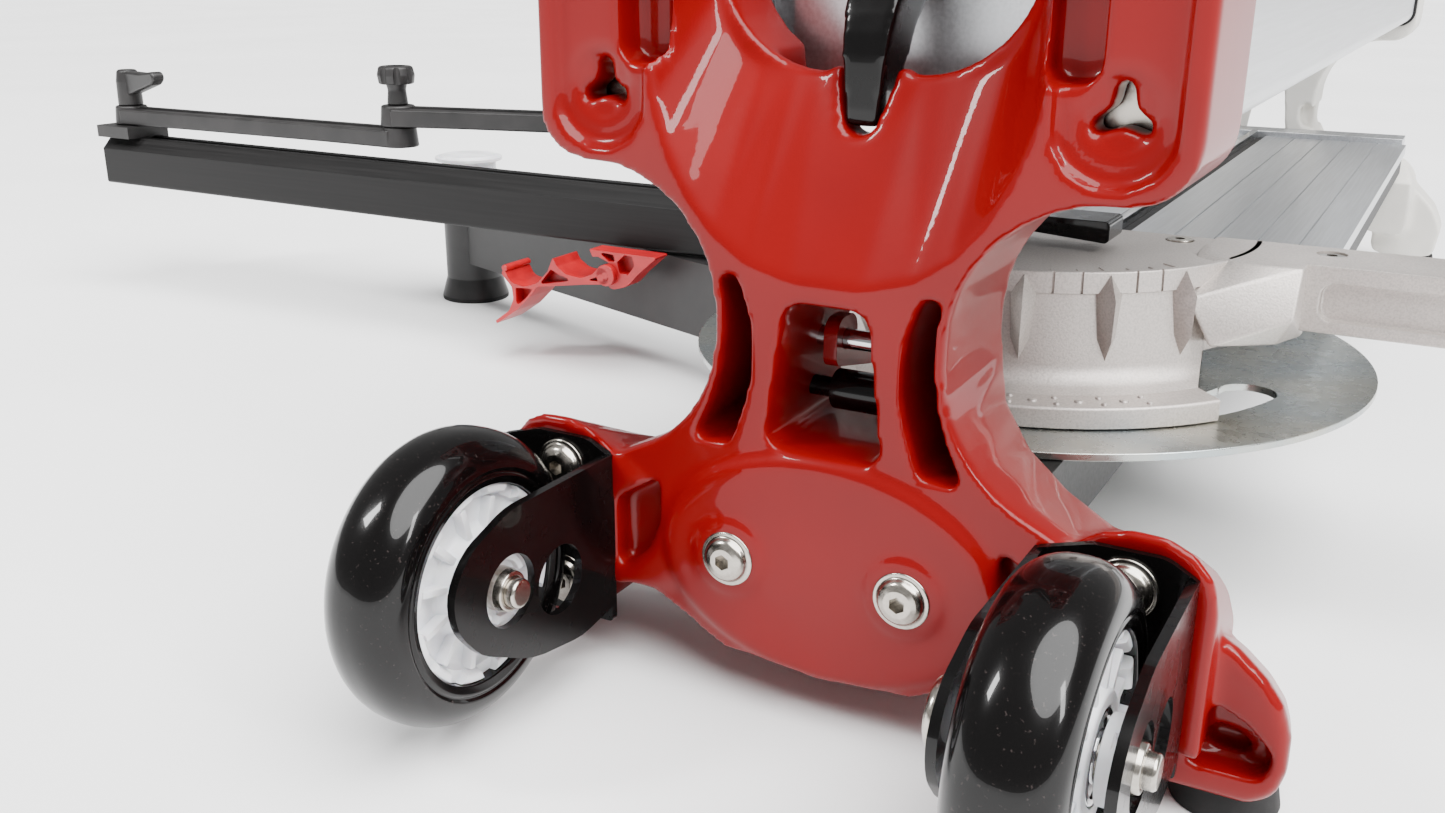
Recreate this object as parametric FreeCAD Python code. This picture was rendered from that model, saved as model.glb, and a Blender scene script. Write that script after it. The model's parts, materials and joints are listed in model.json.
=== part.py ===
"""Manual tile cutter with twin guides: every piece is one solid, saved in its own STEP file.

Working axes: X across the machine with the cutting line at X = 0, Y from the front support's front face
towards the rear, Z up from the ground. save() moves each piece to the part's own frame, whose origin is on
the top of the breaking strip at mid-length.
"""
import FreeCAD, Part
import math
import os

Vector = FreeCAD.Vector
ALONG_X = Vector(1, 0, 0)
ALONG_Y = Vector(0, 1, 0)
ALONG_Z = Vector(0, 0, 1)

# ---------------------------------------------------------------- clearances
gap = 0.3                       # between pieces that move past each other
slip = 0.05                     # radial clearance of pins, studs and shafts
seat_gap = 0.1                  # around a piece that is seated in another
past = 1.0                      # cuts run this far past the face that they open

# ---------------------------------------------------------------- overall sizes
support_span = 936.0            # front face of the front support to rear face of the rear support
support_depth = 58.0            # both end castings, along Y
tile_plane = 113.7              # top of the breaking strip above the ground
guide_inner = 62.0              # inner flank of each guide, from the cutting line
guide_bottom = 201.0            # underside of the guides above the ground

# ---------------------------------------------------------------- guides
guide_width = 41.0
guide_height = 80.0
guide_round = 9.0
guide_wall = 2.6
guide_start = 20.0              # the guides start this far inside the end castings
guide_centre = guide_inner + guide_width / 2
guide_top = guide_bottom + guide_height
guide_length = support_span - 2 * guide_start
track_bottom = guide_bottom + 9.0       # roller groove in the inner flank
track_height = 11.6
track_depth = 4.6
plug_length = 8.0
gasket_proud = 2.0
gasket_length = 4.0

# ---------------------------------------------------------------- end castings
ear_wall = 4.0                  # beside each guide
ear_roof = 9.0                  # above each guide
ear_floor = 14.0                # below each guide
ear_half = guide_inner + guide_width + ear_wall
ear_bottom = guide_bottom - ear_floor
support_height = guide_top + ear_roof
waist_half = 39.5
ear_fillet = 46.0
wing_fillet = 34.0
wing_top = 91.0
wing_back = 74.0                # the wings fall to this height at the rear
wing_slope_start = 12.0         # and start falling this far behind the front face
wing_half = 124.0               # half width of the wings above the wheel brackets
wing_round = 26.0
wing_bottom = 36.6
belly_bottom = 19.6             # underside of the castings between the wings
belly_half = 34.0
lobe_inner = 98.0
lobe_half = 149.0               # half width over the foot lobes
lobe_top = 70.0
lobe_front = 8.0                # the lobes start this far behind the front face
lobe_depth = 38.0
foot_height = 12.0
foot_x = 131.0
foot_y = 28.0
foot_radius = 17.0
foot_stud = 3.0
foot_stud_length = 8.0
window_top = 147.5
window_bottom = 98.6
window_top_half = 14.0
window_bottom_half = 20.5
window_round = 5.0
scoop_front_bottom = 153.0
scoop_rim_bottom = 217.0
scoop_front_half = 60.0
scoop_rim_half = 52.0
scoop_round = 30.0
rim_y = 28.0                    # the scoop's raised rim, behind the front face
rim_thickness = 6.0
notch_half = 9.0
notch_bottom = 198.4
well_bottom = 165.0
well_half = scoop_rim_half - 8.0
panel_depth = 4.0               # recessed panel on each ear
panel_margin = 5.0
star_x = guide_centre + 1.5
star_heights = (guide_bottom + 10.5, guide_bottom + 58.5)
star_arm = 9.0
star_width = 4.6
ear_window_left = guide_inner + 4.0
ear_window_width = 13.0
ear_window_bottom = guide_bottom + 18.0
ear_window_height = 33.0
pocket_outer = ((38.0, 154.0), (35.0, 130.0), (48.0, 96.0))     # crescent beside the waist: x, z
pocket_inner = ((32.5, 155.0), (23.6, 132.0), (33.5, 97.6))
pocket_depth = 34.0
rear_opening = 178.0
rear_pocket = 20.0
rear_pocket_corners = ((24.0, 152.0, 5.0), (31.0, 116.0, 5.0), (51.5, 112.0, 4.0))
latch_y = 34.0
latch_pin_z = 129.0
latch_sleeve_z = 111.0
latch_pin_radius = 3.5
latch_reach = 24.0
latch_sleeve_radius = 7.0
latch_sleeve_length = 20.0
hook_x = -12.0
hook_width = 5.0

# ---------------------------------------------------------------- base and tables
table_top = tile_plane - 4.7
table_thickness = 8.0
table_bottom = table_top - table_thickness
table_travel = 4.0
table_inner = 8.5
table_outer = 115.0
deck_top = table_bottom - table_travel - 1.0
deck_half = 112.0
deck_wall = 5.0
spine_half = 58.0
spine_bottom = 48.0
spine_top = deck_top - 14.0
swivel_y = 215.0                # pivot of the protractor
table_start = swivel_y + 89.0   # clear of the drum and of the fence arm
deck_start = table_start + 66.0
rib_half = 7.0
strip_half = 2.5
strip_height = 12.0
groove_pitch = 20.8
groove_width = 1.2
groove_depth = 1.0
ruler_length = 30.0
ruler_half = 112.0
rear_face = support_span
rear_front = support_span - support_depth
table_end = rear_front - ruler_length - 2 * gap
spring_count = 3                # under each table
spring_margin = 50.0            # first and last spring from the table's ends
spring_across = 36.0            # from the cutting line
spring_radius = 5.0
spring_wire = 1.2
spring_turns = 5
spring_length = 21.0
spring_room = 1.0

# ---------------------------------------------------------------- swivel plate and protractor
plate_radius = 148.0
plate_thickness = 3.0
plate_top = spine_top + gap + plate_thickness
plate_slot_inner = 96.0
plate_slot_outer = 118.0
plate_slot_ends = (-164.0, -16.0)       # degrees from +X
pivot_radius = 8.0
pivot_seat = spine_bottom + 10.0
flange_radius = 124.0
flange_height = 8.5
drum_low_radius = 112.0
drum_top_radius = 97.0
protractor_top = 139.0
protractor_wall = 6.0
fence_back = 12.0               # the fence face stands this far behind the pivot
arm_start = drum_top_radius - 20.0
arm_end = 250.0
arm_front = 24.0                # the arm's front stands this far before the pivot
arm_height = 26.0
nose_from = 88.0                # the arm's wide root, where it leaves the drum
nose_to = 116.0
nose_end = 130.0
nose_proud = 6.0
m6_radius = 3.0
m6_length = 20.0
m6_head = 5.5
m6_head_depth = 4.0
m6_socket_flats = 4.0
m6_socket_depth = 2.0
m6_sunk = 0.5                   # the heads lie this far under the face
fence_screw_places = ((64.0, swivel_y + 2.0), (124.0, swivel_y - 2.0), (220.0, swivel_y - 2.0))

# ---------------------------------------------------------------- screws
m8_radius = 4.0
m8_head_radius = 8.0
m8_head_top = 4.4               # radius of the button's flat top
m8_head_height = 5.0
m8_flange_radius = 9.6
m8_flange_height = 1.4
m8_socket_flats = 5.0
m8_socket_depth = 3.5
support_screw_x = 31.7
support_screw_z = 57.0
support_screw_length = 79.0
bracket_screw_length = 25.0

# ---------------------------------------------------------------- transport wheels
wheel_radius = 50.0
wheel_lift = 7.0                # between the ground and the tyre
tyre_width = 31.0
tyre_inner = 33.5
tyre_shoulder = 6.0
hub_width = 27.0
hub_recess = 9.0
hub_rim = 5.0
hub_ribs = 10
hub_rib_half = 1.2
sheet = 3.0
wheel_clearance = 2.0           # between the tyre and the screw heads behind it
axle_y = -(sheet + m8_head_height + wheel_clearance + wheel_radius)
axle_z = wheel_lift + wheel_radius
bracket_screw_x = 100.0
bracket_screw_z = (33.0, 78.0)
bracket_shift = -4.0            # both brackets stand this far left of their screws
bracket_x = bracket_screw_x + bracket_shift
bracket_half = 24.0
bracket_top = 81.0
bracket_bottom = 20.0
bracket_arch = 12.0             # round top of the back plate, about the upper screw
nose_radius = 26.0
side_window = (-38.0, -14.0, -12.0, 10.0)       # y from the back plate and z from the axle
axle_radius = 5.0
axle_head_radius = 10.5
axle_head_length = 9.0
axle_socket_flats = 6.0
axle_socket_depth = 4.0
axle_proud = 5.0
nut_flats = 17.0
nut_length = 8.0
washer_radius = 11.5
washer_thickness = 2.0
bearing_outer = 13.0
bearing_width = 8.0
bearing_land = 4.0              # hub wall round each bearing
spacer_radius = 7.0

# ---------------------------------------------------------------- carriage, lever and cutting head
carriage_start = support_depth + gasket_length + 4.0
carriage_length = 134.0
carriage_bottom = track_bottom - 5.0
carriage_top = carriage_bottom + 36.0
carriage_half = guide_inner - 17.0
roller_radius = 13.0
roller_height = track_height - 2 * gap
roller_bottom = track_bottom + gap
roller_x = guide_inner + track_depth - 2 * gap - roller_radius
roller_places = (20.0, 114.0)   # along Y from the carriage's front
roller_pin = 3.0
roller_lug = 8.0
cheek_inner = 11.0
cheek_thickness = 10.0
cheek_half = 16.0
lever_pivot_y = carriage_start + 68.0
lever_pivot_z = carriage_top + 23.0
cheek_top = lever_pivot_z + 20.0
lever_pin = 5.0
lever_pin_proud = 2.0
lever_half = 10.0
lever_top = 560.0
keel_half = 6.2
nose_y = 26.0
nose_clearance = 2.4
lever_keel_top = 232.0
grip_radius = 16.0
grip_length = 125.0
grip_lean = 6.0
grip_proud = 14.0
plunger_y = carriage_start + 22.0
plunger_radius = 8.0
plunger_top = carriage_top - 1.0
fork_half = 7.0
fork_depth = 6.0
score_radius = 11.0
score_thickness = 3.0
score_edge = 2.0
score_z = 152.0
score_pin = 2.5
breaker_y = carriage_start + 116.0
breaker_rod = 7.0
breaker_half = 45.0
breaker_bottom = 142.0
breaker_height = 9.0
breaker_depth = 11.0
breaker_pin = 3.0
breaker_pin_reach = 12.0
breaker_room = 0.8              # over the foot, so that it can tilt
breaker_knuckle = breaker_bottom + breaker_height + breaker_room
breaker_pin_z = breaker_knuckle + 6.0

# ---------------------------------------------------------------- lateral rail and stop linkage
rail_y = table_start + 18.0
rail_width = 28.0
rail_bottom = 78.0
rail_height = 36.0
rail_top = rail_bottom + rail_height
rail_start = -118.0
rail_end = -778.0
rail_wall = 3.0
rail_slot_y = rail_y + rail_width / 2 + 3.0
rail_slot_half = 3.0
rail_slot_depth = 10.0
rail_lip = 4.0                  # over the slot's undercut
rail_undercut_half = 5.4
rail_chamfer = 9.0
rail_foot_length = 60.0
rail_foot_thickness = 5.0
slider_x = -760.0
slider_length = 36.0
slider_height = 9.0
slider_skirt = 14.0
slider_top = rail_top + gap + slider_height
joint_x = -490.0
joint_y = rail_y + 25.0
stop_end = (-262.0, rail_y + 82.0)
link_half = 13.0
link_thickness = 14.0
link_stud = 4.0
link_bottom = slider_top + gap
upper_bottom = link_bottom + link_thickness + gap
upper_top = upper_bottom + link_thickness
hub_radius = 9.0
hub_height = 26.0
clamp_arm = (46.0, -10.0, 10.0)
clamp_arm_start = 20.0
clamp_arm_radii = (7.0, 5.0)
knob_stem_radius = 7.0
knob_stem_length = 14.0
knob_radius = 13.0
knob_height = 12.0
knob_lobes = 8
knob_flute = 2.6

# ---------------------------------------------------------------- support beam
beam_pivot = (-128.0, table_start - 11.0)
beam_post = (-492.0, table_start + 117.0)
beam_half = 14.0
beam_wall = 3.0
beam_bottom = 30.0
beam_top = 76.0
beam_pin = 6.0
bracket_ear = 6.0               # plates of the hinge on the base, over and under the beam
post_radius = 21.0
post_wall = 4.0
post_foot_radius = 25.0
post_flare = 14.0
post_height = 94.0
post_bore = 30.0
foot_pad = 3.0
cap_radius = 25.0
cap_thickness = 4.0
cap_top = 109.0
cap_plug = 20.0

# ---------------------------------------------------------------- clip under the rail
clip_y = rail_y - 24.0
clip_width = 20.0
clip_pivot = (-292.0, 66.0)
clip_pin = 2.5
clip_pin_proud = 2.0
cradle_radius = 15.0
clip_lug_half = 5.0
clip_strap = ((12, 10, 5), (34, 12, 4), (34, 5, 3), (6, -12, 6), (-48, -14, 6), (-62, -44, 2), (-74, -52, 2),
              (-62, -26, 8), (-86, -4, 3), (-80, 2, 3), (-58, -5, 8), (-14, -2, 6), (-8, 10, 5))

mid_length = support_span / 2


# ================================================================ shape helpers
def block(x0, x1, y0, y1, z0, z1):
    return Part.makeBox(x1 - x0, y1 - y0, z1 - z0, Vector(x0, y0, z0))


def rod(radius, length, base, direction):
    return Part.makeCylinder(radius, length, Vector(*base), direction)


def ring(outer, inner, length, base, direction):
    return rod(outer, length, base, direction).cut(rod(inner, length, base, direction))


def wire(corners, plane, level):
    """Closed outline through (u, v, radius) corners in plane 'XZ', 'YZ' or 'XY', each corner rounded."""
    def place(u, v):
        if plane == "XZ":
            return Vector(u, level, v)
        if plane == "YZ":
            return Vector(level, u, v)
        return Vector(u, v, level)

    stretches = []
    count = len(corners)
    for index, (u, v, radius) in enumerate(corners):
        here = Vector(u, v, 0)
        before = Vector(*corners[index - 1][:2], 0)
        after = Vector(*corners[(index + 1) % count][:2], 0)
        into = (before - here).normalize()
        out = (after - here).normalize()
        half_angle = into.getAngle(out) / 2
        if radius == 0:
            stretches.append((here, None, here))
            continue
        reach = radius / math.tan(half_angle)
        middle = (into + out).normalize()
        depth = radius / math.sin(half_angle) - radius
        stretches.append((here + into * reach, here + middle * depth, here + out * reach))
    edges = []
    for index, (start, middle, end) in enumerate(stretches):
        if middle is not None:
            points = [place(p.x, p.y) for p in (start, middle, end)]
            edges.append(Part.Arc(*points).toShape())
        following = stretches[(index + 1) % count][0]
        if (following - end).Length > 1e-6:
            edges.append(Part.LineSegment(place(end.x, end.y), place(following.x, following.y)).toShape())
    return Part.Wire(edges)


def prism(corners, plane, start, length):
    """Solid on the outline of corners, from level start along the plane's normal."""
    normal = {"XZ": ALONG_Y, "YZ": ALONG_X, "XY": ALONG_Z}[plane]
    return Part.Face(wire(corners, plane, start)).extrude(normal * length)


def both_sides(right_side):
    """Outline symmetric about X = 0 from its right-hand corners, listed from top to bottom."""
    return right_side + [(-u, v, radius) for u, v, radius in reversed(right_side)]


def rectangle(u0, u1, v0, v1, radius):
    return [(u0, v0, radius), (u1, v0, radius), (u1, v1, radius), (u0, v1, radius)]


def mirrored(shape):
    return shape.mirror(Vector(0, 0, 0), ALONG_X)


def pair(shape):
    return [shape, mirrored(shape)]


def hexagon(flats, length, base, direction):
    corner = flats / math.sqrt(3)
    across = ALONG_Z if direction != ALONG_Z else ALONG_X
    points = []
    for turn in range(7):
        spoke = FreeCAD.Rotation(direction, 60 * turn).multVec(across * corner)
        points.append(Vector(*base) + spoke)
    return Part.Face(Part.makePolygon(points)).extrude(direction * length)


def crescent(outer, inner):
    """Face in the XZ plane between two arcs, each given by its top, middle and bottom (x, z)."""
    outer_points = [Vector(x, 0, z) for x, z in outer]
    inner_points = [Vector(x, 0, z) for x, z in inner]
    edges = [
        Part.Arc(*outer_points).toShape(),
        Part.LineSegment(outer_points[2], inner_points[2]).toShape(),
        Part.Arc(*reversed(inner_points)).toShape(),
        Part.LineSegment(inner_points[0], outer_points[0]).toShape(),
    ]
    return Part.Face(Part.Wire(edges))


def turned(shape, degrees, x, y):
    shape = shape.copy()
    shape.rotate(Vector(x, y, 0), ALONG_Z, degrees)
    return shape


def save(name, *solids):
    """Write the piece, or the group of like pieces, in the part's own frame."""
    pieces = []
    for solid in solids:
        pieces.extend(solid.Solids)
    shape = pieces[0] if len(pieces) == 1 else Part.makeCompound(pieces)
    shape = shape.copy()
    shape.translate(Vector(0, -mid_length, -tile_plane))
    shape.exportStep(os.path.join("parts", name + ".step"))


# ================================================================ end supports
def support_outline():
    return both_sides([
        (ear_half, support_height, 20),
        (ear_half, ear_bottom, 17),
        (waist_half, ear_bottom, ear_fillet),
        (waist_half, wing_top, wing_fillet),
        (wing_half, wing_top, wing_round),
        (wing_half, wing_bottom - 9, 10),
        (belly_half + 32, wing_bottom, 12),
        (belly_half, belly_bottom, 12),
    ])


def lobe():
    """Foot lobe outside the wing, standing on its rubber foot."""
    corners = [
        (lobe_inner, lobe_top, 6),
        (wing_half, lobe_top, 10),
        (lobe_half - 8, lobe_top - 17, 16),
        (lobe_half, foot_height + 24, 14),
        (lobe_half - 3, foot_height, 8),
        (lobe_inner, foot_height, 8),
    ]
    return prism(corners, "XZ", lobe_front, lobe_depth)


def guide_section(grow):
    return rectangle(guide_inner - grow, guide_inner + guide_width + grow,
                     guide_bottom - grow, guide_top + grow, guide_round + grow)


def support_body():
    """What both end castings share: hourglass body, lobes, guide sockets and window."""
    body = prism(support_outline(), "XZ", 0, support_depth)
    slope = prism([(wing_slope_start, wing_top, 0), (support_depth + past, wing_back, 0),
                   (support_depth + past, wing_top + wing_fillet, 0), (wing_slope_start, wing_top + past, 0)],
                  "YZ", waist_half + wing_fillet, wing_half)
    for side in pair(slope):
        body = body.cut(side)
    for side in pair(lobe()):
        body = body.fuse(side)
    socket = prism(guide_section(seat_gap), "XZ", guide_start, support_depth)
    for side in pair(socket):
        body = body.cut(side)
    window = both_sides([(window_top_half, window_top, window_round),
                         (window_bottom_half, window_bottom, window_round)])
    body = body.cut(prism(window, "XZ", -past, support_depth + 2 * past))
    for side in pair(rod(foot_stud + slip, foot_height, (foot_x, foot_y, foot_height), ALONG_Z)):
        body = body.cut(side)
    return body


def scoop():
    """Bowl between the ears that lets the lever lean forward, deeper towards the front."""
    def bowl(half, bottom, level):
        over = support_height + 10
        corners = both_sides([(half, over, 0), (half, bottom + 46, scoop_round),
                              (half * 0.62, bottom, scoop_round)])
        return wire(corners, "XZ", level)

    hollow = Part.makeLoft([bowl(scoop_front_half, scoop_front_bottom, -1),
                            bowl(scoop_rim_half, scoop_rim_bottom, rim_y)], True, True)
    behind = Part.Face(bowl(scoop_rim_half, scoop_rim_bottom, rim_y)).extrude(ALONG_Y * support_depth)
    well_start = rim_y + rim_thickness
    well = prism(both_sides([(well_half, support_height + past, 0), (waist_half - 8, well_bottom, 12)]),
                 "XZ", well_start, support_depth)
    return hollow.fuse(behind).fuse(well)


def star(x, z):
    """Three-armed screw window through the front of an ear."""
    shape = rod(star_width / 2 + 1, guide_start + 2, (x, -1, z), ALONG_Y)
    for turn in range(3):
        arm = block(x - star_width / 2, x + star_width / 2, -1, guide_start + 1, z, z + star_arm)
        arm.rotate(Vector(x, 0, z), ALONG_Y, 120 * turn)
        shape = shape.fuse(arm)
    return shape


def front_support():
    body = support_body().cut(scoop())
    notch = both_sides([(notch_half, scoop_rim_bottom + 30, 0), (notch_half, notch_bottom, 7)])
    body = body.cut(prism(notch, "XZ", -1, support_depth + 2))
    pocket = crescent(pocket_outer, pocket_inner).extrude(ALONG_Y * pocket_depth)
    panel = prism(rectangle(guide_inner + 2, ear_half - panel_margin, ear_bottom + panel_margin,
                            support_height - panel_margin, 15), "XZ", -past, panel_depth + past)
    slot = prism(rectangle(ear_window_left, ear_window_left + ear_window_width, ear_window_bottom,
                           ear_window_bottom + ear_window_height, 5), "XZ", -past, guide_start + 2 * past)
    cuts = pair(pocket) + pair(panel) + pair(slot)
    for height in star_heights:
        cuts += pair(star(star_x, height))
    for x in (-support_screw_x, support_screw_x):
        cuts.append(rod(m8_radius + seat_gap, support_depth + 2, (x, -1, support_screw_z), ALONG_Y))
    for side in (-1, 1):
        for z in bracket_screw_z:
            base = (side * bracket_screw_x, -1, z)
            cuts.append(rod(m8_radius + seat_gap, bracket_screw_length + 1, base, ALONG_Y))
    for z in (latch_pin_z, latch_sleeve_z):
        cuts.append(rod(latch_pin_radius + slip, 2 * latch_reach, (-latch_reach, latch_y, z), ALONG_X))
    for cut in cuts:
        body = body.cut(cut)
    return body


def rear_support():
    body = support_body()
    opening = both_sides([(scoop_rim_half, support_height + 10, 0), (waist_half, rear_opening, 24)])
    body = body.cut(prism(opening, "XZ", -1, support_depth + 2))
    pocket = prism(list(rear_pocket_corners), "XZ", -past, rear_pocket + past)
    for side in pair(pocket):
        body = body.cut(side)
    body = body.mirror(Vector(0, support_depth / 2, 0), ALONG_Y)
    body.translate(Vector(0, rear_front, 0))
    face_pocket = prism(list(rear_pocket_corners), "XZ", rear_front - past, rear_pocket + past)
    for side in pair(face_pocket):
        body = body.cut(side)
    for x in (-support_screw_x, support_screw_x):
        body = body.cut(rod(m8_radius + seat_gap, support_depth + 2 * past,
                            (x, rear_front - past, support_screw_z), ALONG_Y))
    return body


def feet(y):
    solid = Part.makeCone(foot_radius, foot_radius - 2, foot_height, Vector(foot_x, y, 0), ALONG_Z)
    stud = rod(foot_stud, foot_stud_length, (foot_x, y, foot_height), ALONG_Z)
    return pair(solid.fuse(stud))


# ================================================================ guides
def guide():
    outside = prism(guide_section(0), "XZ", guide_start, guide_length)
    inner = rectangle(guide_inner + track_depth + guide_wall, guide_inner + guide_width - guide_wall,
                      guide_bottom + guide_wall, guide_top - guide_wall, guide_round - guide_wall)
    hollow = prism(inner, "XZ", guide_start - 1, guide_length + 2)
    track = block(guide_inner - 1, guide_inner + track_depth, guide_start - 1, rear_face,
                  track_bottom, track_bottom + track_height)
    return outside.cut(hollow).cut(track)


def guide_plugs():
    """Metal plugs that close the guides' ends, one piece each."""
    wall = guide_wall + slip
    inner = rectangle(guide_inner + track_depth + wall, guide_inner + guide_width - wall,
                      guide_bottom + wall, guide_top - wall, guide_round - wall)
    starts = (guide_start, rear_face - guide_start - plug_length)
    solids = []
    for start in starts:
        solids += pair(prism(inner, "XZ", start, plug_length))
    return solids


def guide_gaskets():
    starts = (support_depth, rear_front - gasket_length)
    solids = []
    for start in starts:
        outer = prism(guide_section(gasket_proud), "XZ", start, gasket_length)
        solids += pair(outer.cut(prism(guide_section(seat_gap), "XZ", start, gasket_length)))
    return solids


# ================================================================ base, strip and tables
def base_body():
    inside = support_depth
    spine = block(-spine_half, spine_half, inside, rear_front, spine_bottom, spine_top)
    deck = block(-deck_half, deck_half, deck_start, rear_front, spine_top, deck_top)
    for side in pair(block(spine_half + deck_wall, deck_half - deck_wall, deck_start + deck_wall,
                           rear_front - deck_wall, spine_top - 1, deck_top - deck_wall)):
        deck = deck.cut(side)
    rib = block(-rib_half, rib_half, table_start, table_end + gap,
                plate_top + gap, tile_plane - strip_height / 2)
    body = spine.fuse(deck).fuse(rib)
    for y in spring_places():
        well = rod(spring_radius + spring_wire + spring_room, spring_length + past,
                   (spring_across, y, table_bottom - spring_length), ALONG_Z)
        for side in pair(well):
            body = body.cut(side)
    groove = block(-strip_half - slip, strip_half + slip, table_start - past, rear_front,
                   tile_plane - strip_height, tile_plane)
    body = body.cut(groove)
    for x in (-support_screw_x, support_screw_x):
        hole = support_screw_length + past
        front = rod(m8_radius + slip, hole, (x, 0, support_screw_z), ALONG_Y)
        rear = rod(m8_radius + slip, hole, (x, rear_face - hole, support_screw_z), ALONG_Y)
        body = body.cut(front).cut(rear)
    body = body.cut(rod(pivot_radius + slip, spine_top, (0, swivel_y, pivot_seat), ALONG_Z))
    ear_reach = -beam_pivot[0] + beam_half
    for z0, z1 in ((beam_bottom - bracket_ear, beam_bottom - gap), (beam_top + gap, spine_top)):
        ear = block(-ear_reach, -spine_half + 10, beam_pivot[1] - beam_half, beam_pivot[1] + beam_half, z0, z1)
        body = body.fuse(ear)
    web = block(-spine_half - 4, -spine_half + 10, beam_pivot[1] - beam_half, beam_pivot[1] + beam_half,
                beam_bottom - bracket_ear, spine_top)
    body = body.fuse(web)
    hole_start = (beam_pivot[0], beam_pivot[1], beam_bottom - 2 * bracket_ear)
    return body.cut(rod(beam_pin + slip, spine_top, hole_start, ALONG_Z))


def breaking_strip():
    return block(-strip_half, strip_half, table_start, table_end + gap, tile_plane - strip_height, tile_plane)


def table():
    plate = block(table_inner, table_outer, table_start, table_end, table_bottom, table_top)
    first = table_outer - groove_pitch
    while first > table_inner + groove_pitch / 2:
        plate = plate.cut(block(first - groove_width / 2, first + groove_width / 2, table_start - past,
                                table_end + past, table_top - groove_depth, table_top + past))
        first -= groove_pitch
    return plate


def spring_places():
    """Places along Y of the springs under each table, evenly spaced over the deck."""
    first = deck_start + spring_margin
    step = (table_end - spring_margin - first) / (spring_count - 1)
    return [first + step * index for index in range(spring_count)]


def table_springs():
    solids = []
    for y in spring_places():
        height = spring_length - 2 * spring_wire
        pitch = height / spring_turns
        helix = Part.makeHelix(pitch, height, spring_radius)
        profile = Part.Wire(Part.makeCircle(spring_wire / 2, Vector(spring_radius, 0, 0), ALONG_Y))
        coil = Part.Wire(helix).makePipeShell([profile], True, True)
        coil.translate(Vector(spring_across, y, table_bottom - spring_length + spring_wire))
        solids.append(coil)
    return solids


def end_ruler():
    return block(-ruler_half, ruler_half, rear_front - ruler_length, rear_front, deck_top, table_top + 4)


# ================================================================ swivel plate and protractor
def swivel_plate():
    base = spine_top + gap
    plate = rod(plate_radius, plate_thickness, (0, swivel_y, base), ALONG_Z)
    plate = plate.cut(rod(pivot_radius + slip, plate_thickness, (0, swivel_y, base), ALONG_Z))
    start, end = plate_slot_ends
    sweep = end - start
    middle = (plate_slot_inner + plate_slot_outer) / 2
    half = (plate_slot_outer - plate_slot_inner) / 2
    outer = Part.makeCylinder(plate_slot_outer, plate_thickness, Vector(0, swivel_y, base), ALONG_Z, sweep)
    inner = Part.makeCylinder(plate_slot_inner, plate_thickness, Vector(0, swivel_y, base), ALONG_Z, 360)
    slot = turned(outer, start, 0, swivel_y).cut(inner)
    for angle in (start, end):
        x = middle * math.cos(math.radians(angle))
        y = swivel_y + middle * math.sin(math.radians(angle))
        slot = slot.fuse(rod(half, plate_thickness, (x, y, base), ALONG_Z))
    return plate.cut(slot)


def protractor():
    base = plate_top + gap
    flange_top = base + flange_height
    drum_height = protractor_top - flange_top
    fence_y = swivel_y + fence_back
    middle = Vector(0, swivel_y, flange_top)
    flange = rod(flange_radius, flange_height, (0, swivel_y, base), ALONG_Z)
    drum = Part.makeCone(drum_low_radius, drum_top_radius, drum_height, middle, ALONG_Z)
    body = flange.fuse(drum)
    body = body.cut(block(-plate_radius, plate_radius, fence_y, swivel_y + plate_radius, base, protractor_top))
    core = Part.makeCone(drum_low_radius - protractor_wall, drum_top_radius - protractor_wall,
                         drum_height - protractor_wall, middle, ALONG_Z)
    core = core.fuse(rod(drum_low_radius - protractor_wall, flange_height, (0, swivel_y, base), ALONG_Z))
    core = core.cut(block(-plate_radius, plate_radius, fence_y - protractor_wall, swivel_y + plate_radius,
                          base, protractor_top))
    core = core.cut(rod(pivot_radius + protractor_wall, protractor_top, (0, swivel_y, base), ALONG_Z))
    body = body.cut(core)
    arm = block(arm_start, arm_end, swivel_y - arm_front, fence_y, protractor_top - arm_height, protractor_top)
    nose = prism([(nose_from, swivel_y - arm_front - nose_proud, 0), (nose_to, swivel_y - arm_front - 1, 0),
                  (nose_end, swivel_y - arm_front + 4, 0), (nose_end, fence_y - protractor_wall, 0),
                  (arm_start, fence_y - protractor_wall, 0),
                  (arm_start, swivel_y - arm_front - nose_proud, 0)],
                 "XY", protractor_top - arm_height, arm_height)
    body = body.fuse(arm).fuse(nose)
    body = body.cut(rod(pivot_radius + slip, protractor_top, (0, swivel_y, base - past), ALONG_Z))
    for x, y in fence_screw_places:
        body = body.cut(rod(m6_radius + slip, m6_length, (x, y, protractor_top - m6_length), ALONG_Z))
        body = body.cut(rod(m6_head + slip, m6_head_depth, (x, y, protractor_top - m6_head_depth), ALONG_Z))
    return body


def protractor_screws():
    solids = []
    top = protractor_top - m6_sunk
    for x, y in fence_screw_places:
        head = rod(m6_head, m6_head_depth - m6_sunk, (x, y, protractor_top - m6_head_depth), ALONG_Z)
        shank = rod(m6_radius, m6_length - m6_head_depth, (x, y, protractor_top - m6_length), ALONG_Z)
        socket = hexagon(m6_socket_flats, m6_socket_depth + past, (x, y, top - m6_socket_depth), ALONG_Z)
        solids.append(head.fuse(shank).cut(socket))
    return solids


def protractor_pin():
    return rod(pivot_radius, protractor_top - m6_sunk - pivot_seat, (0, swivel_y, pivot_seat), ALONG_Z)


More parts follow.
